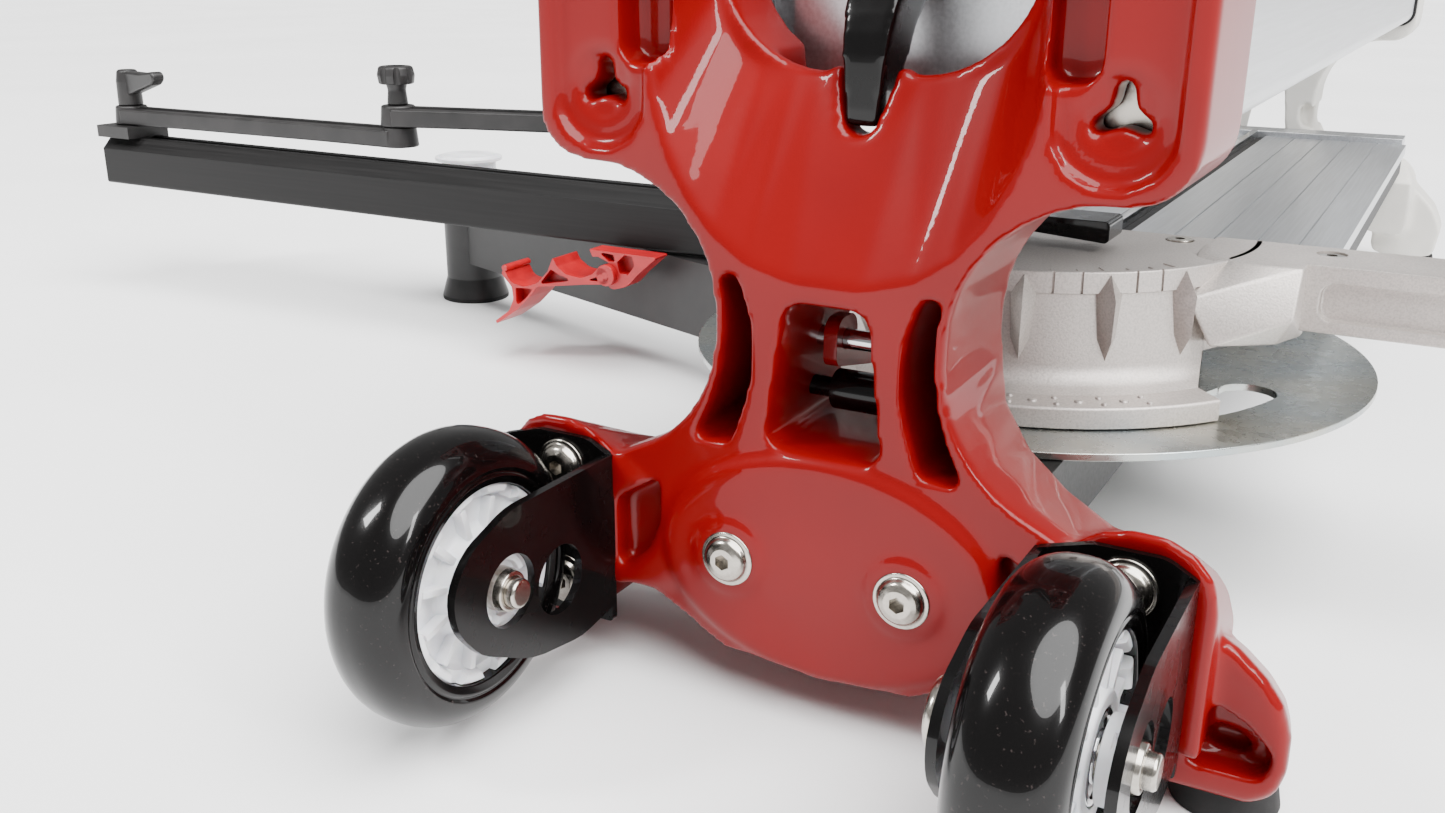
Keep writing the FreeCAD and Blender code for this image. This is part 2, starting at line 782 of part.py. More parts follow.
# ================================================================ screws, wheels and brackets
def flanged_screw(x, y, z, length, facing):
    """Flanged button-head screw; facing is -1 for a head towards -Y and 1 towards +Y."""
    flange_start = y - m8_flange_height if facing < 0 else y
    head = rod(m8_flange_radius, m8_flange_height, (x, flange_start, z), ALONG_Y)
    face = y + facing * m8_flange_height
    button = Part.makeCone(m8_head_radius, m8_head_top, m8_head_height - m8_flange_height,
                           Vector(x, face, z), ALONG_Y * facing)
    top = y + facing * m8_head_height
    socket = hexagon(m8_socket_flats, m8_socket_depth, (x, top, z), ALONG_Y * -facing)
    shank = rod(m8_radius, length, (x, y, z), ALONG_Y * -facing)
    return head.fuse(button).cut(socket).fuse(shank)


def support_screws():
    solids = []
    for x in (-support_screw_x, support_screw_x):
        solids.append(flanged_screw(x, 0, support_screw_z, support_screw_length, -1))
        solids.append(flanged_screw(x, rear_face, support_screw_z, support_screw_length, 1))
    return solids


def bracket_screws():
    solids = []
    for x in (-bracket_screw_x, bracket_screw_x):
        for z in bracket_screw_z:
            solids.append(flanged_screw(x, -sheet, z, bracket_screw_length, -1))
    return solids


def wheel_bracket():
    back = prism(rectangle(bracket_x - bracket_half, bracket_x + bracket_half,
                           bracket_bottom, bracket_top, 1.5), "XZ", -sheet, sheet)
    back = back.fuse(rod(bracket_arch, sheet, (bracket_screw_x, -sheet, bracket_screw_z[1]), ALONG_Y))
    side = [
        (0, bracket_top, 0),
        (axle_y - 4, bracket_top, nose_radius - 2),
        (axle_y - nose_radius, axle_z, nose_radius - 2),
        (axle_y - 8, bracket_bottom + 10, nose_radius - 6),
        (0, bracket_bottom, 0),
    ]
    body = back
    y0, y1, z0, z1 = side_window
    for x in (bracket_x - bracket_half, bracket_x + bracket_half - sheet):
        plate = prism(side, "YZ", x, sheet)
        opening = rectangle(y0, y1, axle_z + z0, axle_z + z1, 9)
        plate = plate.cut(prism(opening, "YZ", x - past, sheet + 2 * past))
        plate = plate.cut(rod(axle_radius + seat_gap, sheet + 2 * past, (x - past, axle_y, axle_z), ALONG_X))
        body = body.fuse(plate)
    for z in bracket_screw_z:
        start = (bracket_screw_x, -sheet - past, z)
        body = body.cut(rod(m8_radius + seat_gap, sheet + 2 * past, start, ALONG_Y))
    return body


def tyre():
    half = tyre_width / 2
    section = [
        Vector(bracket_x - half + 1, axle_y, axle_z + tyre_inner),
        Vector(bracket_x + half - 1, axle_y, axle_z + tyre_inner),
        Vector(bracket_x + half, axle_y, axle_z + tyre_inner + tyre_shoulder),
    ]
    crown = Part.Arc(section[2], Vector(bracket_x, axle_y, axle_z + wheel_radius),
                     Vector(bracket_x - half, axle_y, axle_z + tyre_inner + tyre_shoulder)).toShape()
    edges = [
        Part.LineSegment(section[0], section[1]).toShape(),
        Part.LineSegment(section[1], section[2]).toShape(),
        crown,
        Part.LineSegment(Vector(bracket_x - half, axle_y, axle_z + tyre_inner + tyre_shoulder),
                         section[0]).toShape(),
    ]
    face = Part.Face(Part.Wire(edges))
    return face.revolve(Vector(bracket_x, axle_y, axle_z), ALONG_X, 360)


def hub():
    half = hub_width / 2
    centre = (bracket_x - half, axle_y, axle_z)
    body = rod(tyre_inner - slip, hub_width, centre, ALONG_X)
    for side in (-1, 1):
        start = bracket_x - half if side < 0 else bracket_x + half - hub_recess
        body = body.cut(ring(tyre_inner - hub_rim, bearing_outer + bearing_land, hub_recess,
                             (start, axle_y, axle_z), ALONG_X))
    for turn in range(hub_ribs):
        rib = block(bracket_x - half, bracket_x + half, axle_y - hub_rib_half, axle_y + hub_rib_half,
                    axle_z + bearing_outer + bearing_land - 1, axle_z + tyre_inner - hub_rim + 1)
        rib.rotate(Vector(bracket_x, axle_y, axle_z), ALONG_X, 360 / hub_ribs * turn)
        body = body.fuse(rib)
    body = body.cut(rod(spacer_radius + 1, hub_width, centre, ALONG_X))
    for start in (bracket_x - half, bracket_x + half - bearing_width):
        body = body.cut(rod(bearing_outer, bearing_width, (start, axle_y, axle_z), ALONG_X))
    return body


def wheel_bearings():
    half = hub_width / 2
    solids = []
    for start in (bracket_x - half, bracket_x + half - bearing_width):
        solids.append(ring(bearing_outer, axle_radius + slip, bearing_width, (start, axle_y, axle_z), ALONG_X))
    return solids


def left_copy(shape):
    """The same piece on the left wheel: moved, not mirrored, as both bolts have their heads to the left."""
    moved = shape.copy()
    moved.translate(Vector(-2 * bracket_screw_x, 0, 0))
    return moved


def axle_bolt():
    start = bracket_x - bracket_half
    length = 2 * bracket_half + washer_thickness + nut_length + axle_proud
    shank = rod(axle_radius, length, (start, axle_y, axle_z), ALONG_X)
    head = rod(axle_head_radius, axle_head_length, (start - axle_head_length, axle_y, axle_z), ALONG_X)
    socket = hexagon(axle_socket_flats, axle_socket_depth, (start - axle_head_length, axle_y, axle_z), ALONG_X)
    return shank.fuse(head).cut(socket)


def axle_washer():
    return ring(washer_radius, axle_radius + slip, washer_thickness,
                (bracket_x + bracket_half, axle_y, axle_z), ALONG_X)


def axle_nut():
    start = bracket_x + bracket_half + washer_thickness
    body = hexagon(nut_flats, nut_length, (start, axle_y, axle_z), ALONG_X)
    return body.cut(rod(axle_radius + slip, nut_length, (start, axle_y, axle_z), ALONG_X))


def axle_spacers():
    """Sleeves that keep the hub's bearings apart and centred between the side plates."""
    half = hub_width / 2
    inside = bracket_half - sheet
    centre = 2 * (half - bearing_width) - 2 * slip
    solids = [ring(spacer_radius, axle_radius + slip, centre,
                   (bracket_x - centre / 2, axle_y, axle_z), ALONG_X)]
    side_length = inside - half - slip
    for start in (bracket_x - inside, bracket_x + half + slip):
        solids.append(ring(spacer_radius, axle_radius + slip, side_length, (start, axle_y, axle_z), ALONG_X))
    return solids


# ================================================================ latch in the front support's window
def latch_pin():
    return rod(latch_pin_radius, 2 * latch_reach - 2, (1 - latch_reach, latch_y, latch_pin_z), ALONG_X)


def latch_sleeve():
    axle = rod(latch_pin_radius, 2 * latch_reach - 2, (1 - latch_reach, latch_y, latch_sleeve_z), ALONG_X)
    return axle.fuse(rod(latch_sleeve_radius, latch_sleeve_length,
                         (-latch_sleeve_length / 2, latch_y, latch_sleeve_z), ALONG_X))


def latch_hook():
    corners = [
        (latch_y - 8, latch_pin_z + 8, 6), (latch_y + 9, latch_pin_z + 8, 6),
        (latch_y + 9, latch_pin_z - 6, 4), (latch_y + 24, latch_pin_z - 10, 3),
        (latch_y + 24, latch_pin_z - 15, 2), (latch_y - 8, latch_pin_z - 8, 4),
    ]
    hook = prism(corners, "YZ", hook_x, hook_width)
    return hook.cut(rod(latch_pin_radius + slip, hook_width + 2 * past, (hook_x - past, latch_y, latch_pin_z),
                        ALONG_X))


# ================================================================ carriage, lever and cutting head
def lever_pin_hole():
    start = (-carriage_half, lever_pivot_y, lever_pivot_z)
    return rod(lever_pin + slip, 2 * carriage_half, start, ALONG_X)


def carriage_body():
    end = carriage_start + carriage_length
    body = block(-carriage_half, carriage_half, carriage_start, end, carriage_bottom, carriage_top)
    for place in roller_places:
        y = carriage_start + place
        pocket = rod(roller_radius + gap, roller_height + 2 * gap, (roller_x, y, roller_bottom - gap), ALONG_Z)
        bore = rod(roller_pin + slip, 2 * carriage_top, (roller_x, y, 0), ALONG_Z)
        arm = block(0, roller_x + roller_lug - 2, y - roller_lug, y + roller_lug,
                    carriage_bottom, carriage_top)
        for side in pair(arm):
            body = body.fuse(side)
        for side in pair(pocket) + pair(bore):
            body = body.cut(side)
    for side in pair(block(cheek_inner, cheek_inner + cheek_thickness, lever_pivot_y - cheek_half,
                           lever_pivot_y + cheek_half, carriage_top, cheek_top)):
        body = body.fuse(side)
    body = body.cut(lever_pin_hole())
    body = body.cut(rod(plunger_radius + slip, carriage_top, (0, plunger_y, carriage_bottom - past), ALONG_Z))
    stem = rod(breaker_rod, carriage_bottom - breaker_knuckle, (0, breaker_y, breaker_knuckle), ALONG_Z)
    return body.fuse(stem).cut(breaker_pin_hole())


def rollers():
    solids = []
    for place in roller_places:
        y = carriage_start + place
        base = (roller_x, y, roller_bottom)
        solids.append(ring(roller_radius, roller_pin + slip, roller_height, base, ALONG_Z))
    return solids


def roller_pins():
    solids = []
    for place in roller_places:
        base = (roller_x, carriage_start + place, carriage_bottom)
        solids += pair(rod(roller_pin, carriage_top - carriage_bottom, base, ALONG_Z))
    return solids


def lever():
    corners = [
        (nose_y - 4, notch_bottom + nose_clearance, 4),
        (nose_y - 4, notch_bottom + 34, 30),
        (nose_y + 46, lever_pivot_z + 30, 60),
        (nose_y + 120, lever_top, 6),
        (nose_y + 142, lever_top, 6),
        (lever_pivot_y + cheek_half, lever_pivot_z + 30, 40),
        (lever_pivot_y + cheek_half, carriage_top + 8, 12),
        (lever_pivot_y - 20, carriage_top + 4, 10),
        (nose_y + 26, carriage_top + 3, 24),
        (nose_y + 9, notch_bottom + nose_clearance, 5),
    ]
    bar = prism(corners, "YZ", -lever_half, 2 * lever_half)
    for side in pair(block(keel_half, lever_half + past, 0, support_depth + 3,
                           notch_bottom - 5, lever_keel_top)):
        bar = bar.cut(side)
    return bar.cut(lever_pin_hole())


def grip():
    """Rubber grip around the lever's top end."""
    low = Vector(0, nose_y + 119, lever_top - grip_length)
    high = Vector(0, nose_y + 131 + grip_lean, lever_top + grip_proud)
    axis = high - low
    outside = Part.makeCylinder(grip_radius, axis.Length, low, axis)
    return outside.cut(lever().makeOffsetShape(seat_gap, 0.01))


def lever_pin_piece():
    reach = cheek_inner + cheek_thickness + lever_pin_proud
    return rod(lever_pin, 2 * reach, (-reach, lever_pivot_y, lever_pivot_z), ALONG_X)


def plunger():
    body = rod(plunger_radius, plunger_top - score_z, (0, plunger_y, score_z), ALONG_Z)
    slot_half = score_thickness / 2 + gap
    for side in pair(block(slot_half, fork_half, plunger_y - fork_depth, plunger_y + fork_depth,
                           score_z - fork_depth, score_z + 2 * score_radius)):
        body = body.fuse(side)
    slot = block(-slot_half, slot_half, plunger_y - 2 * score_radius, plunger_y + 2 * score_radius,
                 score_z - score_radius, score_z + score_radius + past)
    hole = rod(score_pin + slip, 4 * fork_half, (-2 * fork_half, plunger_y, score_z), ALONG_X)
    return body.cut(slot).cut(hole)


def scoring_wheel():
    half = score_thickness / 2
    shoulder = score_z + score_radius - score_edge
    bore = score_z + score_pin + slip
    edge = [Vector(-half, plunger_y, shoulder), Vector(0, plunger_y, score_z + score_radius),
            Vector(half, plunger_y, shoulder), Vector(half, plunger_y, bore), Vector(-half, plunger_y, bore)]
    face = Part.Face(Part.makePolygon(edge + [edge[0]]))
    return face.revolve(Vector(0, plunger_y, score_z), ALONG_X, 360)


def scoring_pin():
    return rod(score_pin, 2 * fork_half, (-fork_half, plunger_y, score_z), ALONG_X)


def breaker_pin_hole():
    start = (0, breaker_y - 2 * breaker_pin_reach, breaker_pin_z)
    return rod(breaker_pin + slip, 4 * breaker_pin_reach, start, ALONG_Y)


def breaker_foot():
    """Swivelling foot that presses on both halves of the scored tile."""
    corners = both_sides([(breaker_half, breaker_bottom + breaker_height, 2), (breaker_half, breaker_bottom, 2),
                          (2.0, breaker_bottom + 3, 0)])
    bar = prism(corners, "XZ", breaker_y - breaker_depth, 2 * breaker_depth)
    for y0 in (breaker_y - breaker_depth, breaker_y + breaker_rod + gap):
        ear = block(-8, 8, y0, y0 + breaker_depth - breaker_rod - gap, breaker_bottom + breaker_height,
                    breaker_pin_z + 2 * breaker_pin)
        bar = bar.fuse(ear)
    return bar.cut(breaker_pin_hole())


def breaker_pin_piece():
    return rod(breaker_pin, 2 * breaker_pin_reach, (0, breaker_y - breaker_pin_reach, breaker_pin_z), ALONG_Y)


# ================================================================ lateral arm, stop linkage and clip
def rail():
    corners = [
        (rail_y, rail_bottom, 2), (rail_y + rail_width, rail_bottom, 2), (rail_y + rail_width, rail_top, 1),
        (rail_y + rail_chamfer, rail_top, 1), (rail_y, rail_top - rail_chamfer, 1),
    ]
    body = prism(corners, "YZ", rail_end, rail_start - rail_end)
    for half, top in ((rail_slot_half, rail_top + past), (rail_undercut_half, rail_top - rail_lip)):
        body = body.cut(block(rail_end - past, rail_start + past, rail_slot_y - half, rail_slot_y + half,
                              rail_top - rail_slot_depth, top))
    hollow = rectangle(rail_y + rail_wall, rail_y + rail_width - rail_wall, rail_bottom + rail_wall,
                       rail_top - rail_slot_depth - rail_wall, 2)
    return body.cut(prism(hollow, "YZ", rail_end - past, rail_start - rail_end + 2 * past))


def rail_bracket():
    """Cranked bracket that bolts the rail to the side of the base deck."""
    rail_back = rail_y + rail_width
    back = block(rail_start - rail_foot_length, -deck_half, rail_back, rail_back + rail_foot_thickness,
                 deck_top - 10, deck_top)
    side = block(-deck_half - rail_foot_thickness, -deck_half, rail_back, deck_start + rail_foot_length,
                 deck_top - 10, deck_top)
    return back.fuse(side)


def swing_beam():
    start = Vector(beam_pivot[0], beam_pivot[1], 0)
    end = Vector(beam_post[0], beam_post[1], 0)
    run = (end - start)
    angle = math.degrees(math.atan2(run.y, run.x))
    body = block(0, run.Length, -beam_half, beam_half, beam_bottom, beam_top)
    body = body.fuse(rod(beam_half, beam_top - beam_bottom, (0, 0, beam_bottom), ALONG_Z))
    body = body.cut(block(beam_half + 2 * beam_wall, run.Length - post_radius, beam_wall - beam_half,
                          beam_half - beam_wall, beam_bottom - past, beam_top - beam_wall))
    body = body.fuse(rod(post_radius, post_height, (run.Length, 0, foot_pad), ALONG_Z))
    body = body.fuse(Part.makeCone(post_foot_radius, post_radius, post_flare, Vector(run.Length, 0, foot_pad),
                                   ALONG_Z))
    bore_bottom = foot_pad + post_height - post_bore
    body = body.cut(rod(post_radius - post_wall, post_height, (run.Length, 0, bore_bottom), ALONG_Z))
    body = body.cut(rod(beam_pin + slip, beam_top, (0, 0, beam_bottom - past), ALONG_Z))
    body.rotate(Vector(0, 0, 0), ALONG_Z, angle)
    body.translate(start)
    return body


def post_foot():
    return rod(post_foot_radius, foot_pad, (beam_post[0], beam_post[1], 0), ALONG_Z)


def post_cap():
    x, y = beam_post
    low = foot_pad + post_height
    cap = rod(cap_radius, cap_thickness, (x, y, cap_top - cap_thickness), ALONG_Z)
    neck = rod(post_radius - 1, cap_top - cap_thickness - low, (x, y, low), ALONG_Z)
    plug = rod(post_radius - post_wall - seat_gap, cap_plug, (x, y, low - cap_plug), ALONG_Z)
    return cap.fuse(neck).fuse(plug)


def beam_pin_piece():
    base = beam_bottom - bracket_ear
    return rod(beam_pin, spine_top - base - 0.5, (beam_pivot[0], beam_pivot[1], base), ALONG_Z)


def clamp_slider():
    half = slider_length / 2
    block_top = rail_top + gap
    body = block(slider_x - half, slider_x + half, rail_y - 3, rail_y + rail_width + 6, block_top, slider_top)
    skirt = block(slider_x - half, slider_x + half, rail_y + rail_width + gap, rail_y + rail_width + 6,
                  rail_top - slider_skirt, slider_top)
    body = body.fuse(skirt)
    key = block(slider_x - half, slider_x + half, rail_slot_y - rail_slot_half + gap,
                rail_slot_y + rail_slot_half - gap, rail_top - 3, slider_top)
    body = body.fuse(key)
    return body.cut(rod(link_stud + slip, slider_top, (slider_x, rail_slot_y, block_top), ALONG_Z))


def link(x0, y0, x1, y1, bottom, holes):
    run = Vector(x1 - x0, y1 - y0, 0)
    body = block(0, run.Length, -link_half, link_half, bottom, bottom + link_thickness)
    for x in (0, run.Length):
        body = body.fuse(rod(link_half, link_thickness, (x, 0, bottom), ALONG_Z))
    for x in holes:
        place = x * run.Length
        body = body.cut(rod(link_stud + slip, link_thickness, (place, 0, bottom), ALONG_Z))
    body.rotate(Vector(0, 0, 0), ALONG_Z, math.degrees(math.atan2(run.y, run.x)))
    body.translate(Vector(x0, y0, 0))
    return body


def stop_link():
    return link(slider_x, rail_slot_y, joint_x, joint_y, link_bottom, (0, 1))


def stop_finger():
    return link(joint_x, joint_y, stop_end[0], stop_end[1], upper_bottom, (0,))


def clamp_lever():
    """Clamping lever with its stud, which goes down through the link and the slider."""
    hub = rod(hub_radius, hub_height, (slider_x, rail_slot_y, upper_bottom), ALONG_Z)
    bottom = rail_top + gap + past
    hub = hub.fuse(rod(link_stud, upper_bottom - bottom, (slider_x, rail_slot_y, bottom), ALONG_Z))
    low = Vector(slider_x, rail_slot_y, upper_bottom + clamp_arm_start)
    axis = Vector(*clamp_arm)
    thick, thin = clamp_arm_radii
    arm = Part.makeCone(thick, thin, axis.Length, low, axis)
    return hub.fuse(arm).fuse(Part.makeSphere(thin, low + axis))


def star_knob():
    """Star knob with its stud, which joins the two links."""
    stem_bottom = upper_top + gap
    head_bottom = stem_bottom + knob_stem_length
    stem = rod(knob_stem_radius, knob_stem_length, (joint_x, joint_y, stem_bottom), ALONG_Z)
    stem = stem.fuse(rod(link_stud, stem_bottom - link_bottom, (joint_x, joint_y, link_bottom), ALONG_Z))
    head = rod(knob_radius, knob_height, (joint_x, joint_y, head_bottom), ALONG_Z)
    for lobe_index in range(knob_lobes):
        angle = math.radians(360 / knob_lobes * lobe_index)
        place = (joint_x + knob_radius * math.cos(angle), joint_y + knob_radius * math.sin(angle),
                 head_bottom - past)
        head = head.cut(rod(knob_flute, knob_height + 2 * past, place, ALONG_Z))
    return stem.fuse(head)


def clip():
    """Two open cradles on a hinged strap."""
    x, z = clip_pivot
    strap = prism([(x + u, z + v, radius) for u, v, radius in clip_strap], "XZ", clip_y, clip_width)
    cradle = rod(cradle_radius, clip_width + 2 * past, (x - 34, clip_y - past, z + 8), ALONG_Y)
    pin = rod(clip_pin + slip, clip_width + 2 * past, (x, clip_y - past, z), ALONG_Y)
    return strap.cut(cradle).cut(pin)


def clip_lug():
    """Lug under the rail that carries the clip's hinge pin."""
    x, z = clip_pivot
    lug = block(x - clip_lug_half, x + clip_lug_half, clip_y + clip_width + gap, rail_y + 12,
                z - clip_lug_half, rail_bottom)
    pin = rod(clip_pin, clip_width + gap + clip_pin_proud, (x, clip_y - clip_pin_proud / 2, z), ALONG_Y)
    return lug.fuse(pin)


# ================================================================ build
os.makedirs("parts", exist_ok=True)
save("front_support", front_support())
save("rear_support", rear_support())
save("support_feet", *feet(foot_y), *feet(rear_face - foot_y))
save("guide_left", mirrored(guide()))
save("guide_right", guide())
save("guide_plugs", *guide_plugs())
save("guide_gaskets", *guide_gaskets())
save("base_body", base_body())
save("breaking_strip", breaking_strip())
save("table_left", mirrored(table()))
save("table_right", table())
save("table_springs_left", *[mirrored(spring) for spring in table_springs()])
save("table_springs_right", *table_springs())
save("end_ruler", end_ruler())
save("flanged_screws", *support_screws(), *bracket_screws())
save("swivel_plate", swivel_plate())
save("protractor", protractor())
save("protractor_pin", protractor_pin())
save("protractor_screws", *protractor_screws())
save("wheel_bracket_right", wheel_bracket())
save("wheel_bracket_left", left_copy(wheel_bracket()))
save("tyre_right", tyre())
save("tyre_left", left_copy(tyre()))
save("hub_right", hub())
save("hub_left", left_copy(hub()))
save("wheel_bearings_right", *wheel_bearings())
save("wheel_bearings_left", *[left_copy(bearing) for bearing in wheel_bearings()])
save("axle_bolts", axle_bolt(), left_copy(axle_bolt()))
save("axle_nuts", *[moved for piece in (axle_washer(), axle_nut()) for moved in (piece, left_copy(piece))])
save("axle_spacers", *axle_spacers(), *[left_copy(spacer) for spacer in axle_spacers()])
save("latch_pin", latch_pin())
save("latch_sleeve", latch_sleeve())
save("latch_hook", latch_hook())
save("carriage_body", carriage_body())
for place, roller_piece in zip(("front", "rear"), rollers()):
    save("roller_" + place + "_right", roller_piece)
    save("roller_" + place + "_left", mirrored(roller_piece))
save("roller_pins", *roller_pins())
save("lever", lever())
save("lever_grip", grip())
save("lever_pin", lever_pin_piece())
save("plunger", plunger())
save("scoring_wheel", scoring_wheel())
save("scoring_pin", scoring_pin())
save("breaker_foot", breaker_foot())
save("breaker_pin", breaker_pin_piece())
save("rail", rail())
save("rail_bracket", rail_bracket())
save("swing_beam", swing_beam())
save("post_foot", post_foot())
save("post_cap", post_cap())
save("beam_pin", beam_pin_piece())
save("clamp_slider", clamp_slider())
save("clamp_lever", clamp_lever())
save("stop_link", stop_link())
save("stop_finger", stop_finger())
save("star_knob", star_knob())
save("clip", clip())
save("clip_lug", clip_lug())
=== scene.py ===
"""Looks of a manual tile cutter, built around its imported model: cast end supports, transport wheels,
protractor, guides, tables, lateral rail with its stop linkage, and the finishes of every piece.

Shapes are worked out in millimetres: X across the machine, Y from the front support's face towards the rear,
Z up from the ground. ROW_FRAME turns them into the model's own frame, in metres.
"""

import json
import math

import bmesh
import bpy
from mathutils import Matrix, Vector

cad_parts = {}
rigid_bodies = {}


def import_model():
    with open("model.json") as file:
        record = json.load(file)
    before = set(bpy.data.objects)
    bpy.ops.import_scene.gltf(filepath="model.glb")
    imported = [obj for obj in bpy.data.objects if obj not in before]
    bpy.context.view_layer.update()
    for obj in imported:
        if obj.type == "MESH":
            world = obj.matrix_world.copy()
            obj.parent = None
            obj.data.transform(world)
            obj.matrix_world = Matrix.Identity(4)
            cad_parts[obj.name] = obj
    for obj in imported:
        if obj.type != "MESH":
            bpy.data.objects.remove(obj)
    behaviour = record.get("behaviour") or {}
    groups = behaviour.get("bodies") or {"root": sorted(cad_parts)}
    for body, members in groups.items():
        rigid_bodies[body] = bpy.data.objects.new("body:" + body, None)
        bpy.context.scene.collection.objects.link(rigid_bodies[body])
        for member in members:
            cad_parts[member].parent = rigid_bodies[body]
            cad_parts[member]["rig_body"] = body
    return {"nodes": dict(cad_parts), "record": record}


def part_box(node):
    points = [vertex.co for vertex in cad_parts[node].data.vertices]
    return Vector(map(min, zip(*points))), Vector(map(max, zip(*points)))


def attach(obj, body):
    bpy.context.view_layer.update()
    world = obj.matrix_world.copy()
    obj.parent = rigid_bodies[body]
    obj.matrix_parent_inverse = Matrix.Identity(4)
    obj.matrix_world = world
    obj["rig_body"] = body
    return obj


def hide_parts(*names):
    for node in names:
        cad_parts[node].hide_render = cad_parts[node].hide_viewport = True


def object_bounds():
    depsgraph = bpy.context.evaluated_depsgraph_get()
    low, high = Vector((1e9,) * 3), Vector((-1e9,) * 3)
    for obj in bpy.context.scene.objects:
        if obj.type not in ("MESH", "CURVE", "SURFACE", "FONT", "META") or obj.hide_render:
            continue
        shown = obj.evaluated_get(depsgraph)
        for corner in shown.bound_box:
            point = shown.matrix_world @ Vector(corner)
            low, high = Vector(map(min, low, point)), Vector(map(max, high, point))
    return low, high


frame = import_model()

bl_info = {
    "name": "Tile cutter finish",
    "version": (1, 0, 0),
    "blender": (4, 5, 0),
    "location": "3D View > Sidebar > Tile Cutter",
    "description": "Builds the cast, turned, bent and moulded pieces of a tile cutter with their finishes",
    "category": "Object",
}

MM = 0.001
CAD_BOX = [list(corner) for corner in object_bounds()]
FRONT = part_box("front_support")[0].y
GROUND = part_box("support_feet")[0].z
ROW_FRAME = Matrix.Translation((0, FRONT, GROUND)) @ Matrix.Diagonal((MM, MM, MM, 1))
ALONG = {"X": Vector((1, 0, 0)), "Y": Vector((0, 1, 0)), "Z": Vector((0, 0, 1))}
EASED_ANGLE = math.radians(28)          # edges sharper than this are rounded
SHARP_ANGLE = math.radians(38)          # edges sharper than this stay crisp in the shading
CAST_ANGLE = math.radians(60)           # the same for cast skins, which have no crisp edges of their own
PAST = 1.0                              # cutters run this far past the faces that they open
WELD = 1e-3                             # corners closer than this are one, in millimetres


def corners_of(node):
    """Lowest and highest corner of a node in working millimetres."""
    low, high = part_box(node)
    back = ROW_FRAME.inverted()
    return back @ low, back @ high


DEPTH = corners_of("front_support")[1].y
REAR = corners_of("rear_support")[1].y
WHEEL_LOW, WHEEL_HIGH = corners_of("tyre_right")
LEFT_WHEEL = corners_of("tyre_left")
AXLE = (WHEEL_LOW + WHEEL_HIGH) / 2
LEFT_AXLE = (LEFT_WHEEL[0] + LEFT_WHEEL[1]) / 2
BRACKET_LOW, BRACKET_HIGH = corners_of("wheel_bracket_right")
LEFT_BRACKET_LOW, LEFT_BRACKET_HIGH = corners_of("wheel_bracket_left")
PLATE_LOW, PLATE_HIGH = corners_of("swivel_plate")
PIVOT = (PLATE_LOW + PLATE_HIGH) / 2
FENCE_LOW, FENCE_HIGH = corners_of("protractor")
KNOB_LOW, KNOB_HIGH = corners_of("star_knob")
JOINT = (KNOB_LOW + KNOB_HIGH) / 2
SLIDER_LOW, SLIDER_HIGH = corners_of("clamp_slider")
LINK_LOW, LINK_HIGH = corners_of("stop_link")
FINGER_LOW, FINGER_HIGH = corners_of("stop_finger")
CLAMP_LOW = corners_of("clamp_lever")[0]
LEVER_LOW, LEVER_HIGH = corners_of("lever")
CAP_LOW, CAP_HIGH = corners_of("post_cap")
POST = (CAP_LOW + CAP_HIGH) / 2
SCREW_X = 31.7                          # the support's two big screws, from the middle
SCREW_Z = 57.0
BRACKET_SCREW_X = 100.0                 # the two small screws of each wheel bracket
BRACKET_SCREW_Z = (33.0, 78.0)
SCREW_BORE = 4.2                        # radius of the holes that the screws pass through
SHEET = 3.0                             # steel sheet of the wheel brackets
LINK_END = 13.0                         # from a stop link's end to the axis of its boss


# ================================================================ settings a user would change
class CutterSizes(bpy.types.PropertyGroup):
    """Sizes of the finish that can be changed before building."""
    casting_grid: bpy.props.FloatProperty(
        name="Casting grid", description="Mesh size of the front casting",
        default=0.0016, min=0.00155, max=0.004, precision=5, unit="LENGTH")
    casting_softness: bpy.props.IntProperty(
        name="Casting softness", description="Passes that round the edges of the cast pieces",
        default=6, min=1, max=30)
    hub_scallops: bpy.props.IntProperty(
        name="Hub scallops", description="Hollows round each face of a wheel hub", default=12, min=4, max=24)
    rib_step: bpy.props.FloatProperty(
        name="Rib step", description="Angle between the protractor's ribs",
        default=math.radians(19.1), min=math.radians(12.0), max=math.radians(20.0), subtype="ANGLE")


class CutterColours(bpy.types.PropertyGroup):
    """Colours of the finishes, as sRGB hex values."""
    enamel: bpy.props.StringProperty(name="Red enamel", description="Front casting", default="740002")
    rear_enamel: bpy.props.StringProperty(name="Rear enamel", description="Rear casting", default="D9D6CF")
    aluminium: bpy.props.StringProperty(name="Aluminium", description="Guides and tables", default="D6D8DB")
    cast: bpy.props.StringProperty(name="Cast aluminium", description="Protractor", default="C4BDB8")
    zinc: bpy.props.StringProperty(name="Zinc", description="Blue tint of the swivel plate", default="9CA6AA")
    zinc_straw: bpy.props.StringProperty(
        name="Zinc straw", description="Straw tint of the swivel plate", default="BDBBAF")
    clip: bpy.props.StringProperty(name="Clip red", description="Moulded clip", default="B0121C")


# ================================================================ shape helpers
def at_level(plane, level):
    """Function that puts a point (u, v) of the named plane at its level in space."""
    if plane == "XZ":
        return lambda u, v: (u, level, v)
    if plane == "YZ":
        return lambda u, v: (level, u, v)
    return lambda u, v: (u, v, level)


